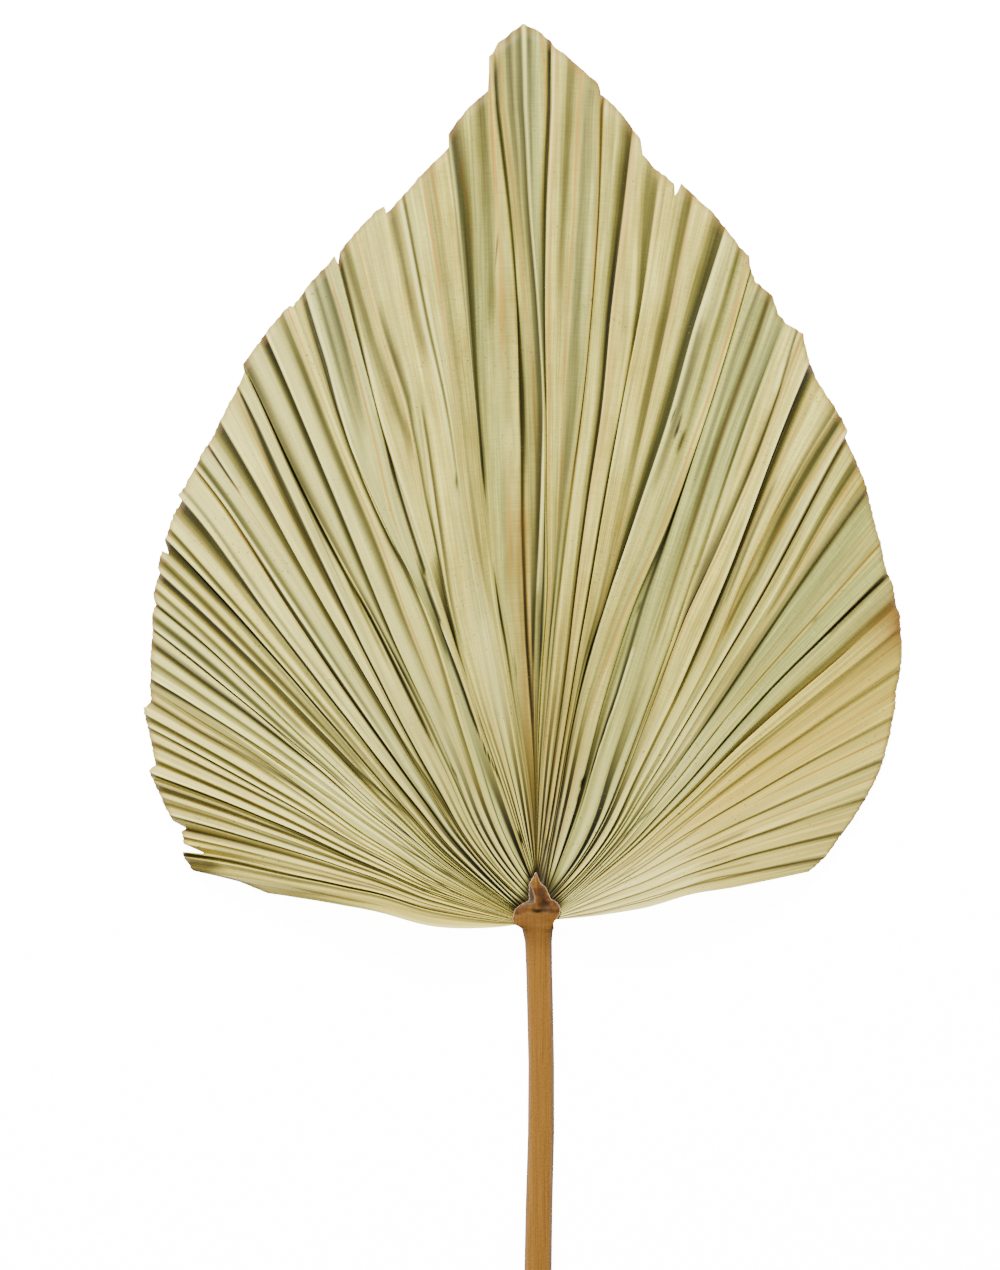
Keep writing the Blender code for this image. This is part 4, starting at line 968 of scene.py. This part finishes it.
def stalk_surface(y, x, width, inside, shield):
    """Upper and lower face. Across, the top is edge + rise * (1 - w^2)^p, and the underside falls likewise.

    The shield adds a keel as a bell across it, a raised rim and a crease, and thins to a flange.
    """
    low, edge, high = [lookup(STALK_LEVELS, y, place) for place in (1, 2, 3)]
    rise = (1 - width ** 2) ** np.where(shield > 0, 0.75, 0.42)
    keel = KEEL_HEIGHT * bell(x, lookup(KEEL, y), 0.9) * ramp(y, -1.8, -0.6) * ramp(y, 14.5, 10.5)
    crease = CREASE_DEPTH * bell(y, lookup(CREASE, x), 0.8) * ramp(inside, 0, 1.6)
    lip = LIP_HEIGHT * np.exp(-inside / LIP_WIDTH) * shield
    hollow = HOLLOW_DEPTH * bell(x, 3.6, 2.2) * bell(y, 1.2, 1.8)
    torn_x = lookup(TORN_EDGE, y)
    torn = ramp(x, torn_x, torn_x - 0.25) * (y > 1.6) * (y < TORN_END)
    rough = 0.05 * value_noise(x * 2.1, y * 1.1, 63) + 0.05 * value_noise(x * 1.2, y / 9, 64)
    top = edge + (high - edge) * rise + rough + shield * (keel - crease + lip - hollow - TORN_DEPTH * torn)
    fall = (1 - np.abs(width) ** 3) ** 0.5
    body = np.clip(1.4 * ramp(np.abs(x - 0.3), BODY_HALF_WIDTH, 0) ** 0.35, 0, 1)
    flange = edge - FLANGE_THICKNESS * np.sqrt(1 - width ** 2) - (edge - FLANGE_THICKNESS - low) * body * fall
    under = np.minimum(np.where(shield > 0, flange, edge - (edge - low) * fall), top - 0.02)
    return np.stack([x, y, top], axis=-1), np.stack([x, y, under], axis=-1), torn


def stalk_material():
    """Dry brown stalk: long fibres of light and dark brown, redder on the shield, with painted shade down
    its edges and in the shield's crease and hollow.
    """
    material, tree, fibre = new_material("dry_stalk", 34.0, 26.0)
    speckle = added(tree, fibre["Veins"], 0.6, fibre["Grain"], 0.4)
    colour = mix_colour(tree, range_node(tree, speckle, 0.3, 0.7), STALK_DARK, STALK_PALE)
    colour = mix_colour(tree, 0.45, colour, STALK_BROWN)
    colour = mix_colour(tree, stored(tree, "red"), colour, SHIELD_BROWN)
    colour = mix_colour(tree, stored(tree, "torn"), colour, TORN_GREY)
    colour = mix_colour(tree, stored(tree, "pale"), colour, RIM_PINK)
    dry_surface(tree, fibre, darkened_by_painted_shade(tree, colour, stored(tree, "shade")), 0.52, 0.68, 0.22, 0.5)
    return material


def build_stalk():
    """The stalk with its shield, and the values that its material reads."""
    y, x, width, inside, shield = stalk_grid()
    top, under, torn = stalk_surface(y, x, width, inside, shield)
    piece = closed_sheet("stalk", top, under)
    # Painted shade for the stalk's shade layer: in the shield's crease, in the hollow right of its keel, and
    # down the stalk's edges, more on its right edge
    crease_y = lookup(CREASE, x)
    crease = bell(y, crease_y, 0.7) * shield * ramp(inside, 0, 1.5)
    middle = 0.3 + 0.6 * bell(x, 0.5, 2.6) + 0.4 * value_noise(x * 0.8, y * 0.8, 67)
    hollow = (bell(x, 3.4, 2.0) * bell(y, 0.8, 1.8) + 0.9 * bell(x, 2.2, 1.3) * bell(y, 4.5, 4.0)) * shield
    edges = (0.5 * bell(width, 1, 0.13) + 0.24 * bell(width, -1, 0.10)) * (1 - shield)
    red = shield * ramp(y, crease_y - 1.875, crease_y + 0.625)
    red = red * (0.8 + 0.4 * value_noise(x * 0.7, y * 0.7, 65))
    rim = bell(inside, 0, 0.20 + 0.14 * value_noise(x * 1.4, y * 1.4, 66))
    torn_rim = 0.55 * bell(x, lookup(TORN_EDGE, y), 0.22) * (y > 2.1) * (y < TORN_END)
    store(piece.data, x / 25, y / 100, {
        "shade": np.clip(0.42 * crease * middle + 0.25 * hollow + edges, 0, 1),
        "red": np.clip(np.maximum(red, 0.4 * bell(y, -6, 12)), 0, 1),
        "torn": torn,
        "pale": np.clip(np.maximum(rim, torn_rim) * shield, 0, 1)})
    return piece


stalk = build_stalk()
stalk.data.materials.append(stalk_material())
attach(stalk, "root")
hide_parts("petiole")

# The floor, the light and the camera
# The leaf lies on a white studio table. A broad light stands beyond its tip, and the room fills in.
# The camera looks straight down on it with a long lens.
PHOTO_WIDTH = 1000
PHOTO_HEIGHT = 1270
PIXEL = 0.4                     # mm on the leaf
FAN_MIDDLE_PIXEL = (537, 908)
CAMERA_DISTANCE = 3.0
LEAF_LEVEL = 0.010              # the height at which a pixel of the photo is as wide as PIXEL says
SENSOR = 36.0
KEY_PLACE = (-0.35, 1.95, 1.45)
KEY_AIM = (0.0, 0.05, 0.0)
KEY_SIZE = 0.6
KEY_POWER = 190.0
ROOM_STRENGTH = 0.5
FLOOR_HALF = 4.0
FLOOR_LEVEL = -0.0002
FLOOR_GREY = (0.93, 0.93, 0.93, 1.0)
FLOOR_GLOW = 3.0                # what it gives the leaf
FLOOR_SEEN = 14.0               # how white the camera sees it
WHITE = (1.0, 1.0, 1.0, 1.0)
view_x = FAN_MIDDLE[0] + (PHOTO_WIDTH / 2 - FAN_MIDDLE_PIXEL[0]) * PIXEL
view_y = FAN_MIDDLE[1] + (FAN_MIDDLE_PIXEL[1] - PHOTO_HEIGHT / 2) * PIXEL

camera_data = bpy.data.cameras.new("camera")
camera_data.sensor_width = SENSOR
camera_data.lens = SENSOR * CAMERA_DISTANCE / (PHOTO_HEIGHT * PIXEL * MM)
camera_data.clip_end = 50.0
camera = add_object("camera", camera_data)
camera.location = (view_x * MM, view_y * MM, LEAF_LEVEL + CAMERA_DISTANCE)
bpy.context.scene.camera = camera

key_data = bpy.data.lights.new("key", "AREA")
key_data.shape = "SQUARE"
key_data.size = KEY_SIZE
key_data.energy = KEY_POWER
key = add_object("key", key_data)
key.location = KEY_PLACE
aim_x, aim_y, aim_z = np.array(KEY_AIM) - np.array(KEY_PLACE)
key.rotation_euler = (math.atan2(math.hypot(aim_x, aim_y), -aim_z), 0, math.atan2(aim_y, aim_x) - math.pi / 2)

world = bpy.data.worlds.new("room")
world.use_nodes = True
world.node_tree.nodes["Background"].inputs["Color"].default_value = WHITE
world.node_tree.nodes["Background"].inputs["Strength"].default_value = ROOM_STRENGTH
bpy.context.scene.world = world

floor_mesh = bpy.data.meshes.new("table_top")
corners = [(x * FLOOR_HALF, y * FLOOR_HALF, FLOOR_LEVEL) for x, y in ((-1, -1), (1, -1), (1, 1), (-1, 1))]
floor_mesh.from_pydata(corners, [], [(0, 1, 2, 3)])
floor = add_object("table_top", floor_mesh)
floor_material = bpy.data.materials.new("white_table")
floor_material.use_nodes = True
floor_shader = floor_material.node_tree.nodes["Principled BSDF"]
floor_shader.inputs["Base Color"].default_value = FLOOR_GREY
floor_shader.inputs["Roughness"].default_value = 0.9
floor_shader.inputs["Emission Color"].default_value = WHITE
seen = add_node(floor_material.node_tree, "LightPath", {}, "Is Camera Ray")
glow = range_node(floor_material.node_tree, seen, 0.0, 1.0, FLOOR_GLOW, FLOOR_SEEN)
floor_material.node_tree.links.new(glow, floor_shader.inputs["Emission Strength"])
floor_mesh.materials.append(floor_material)
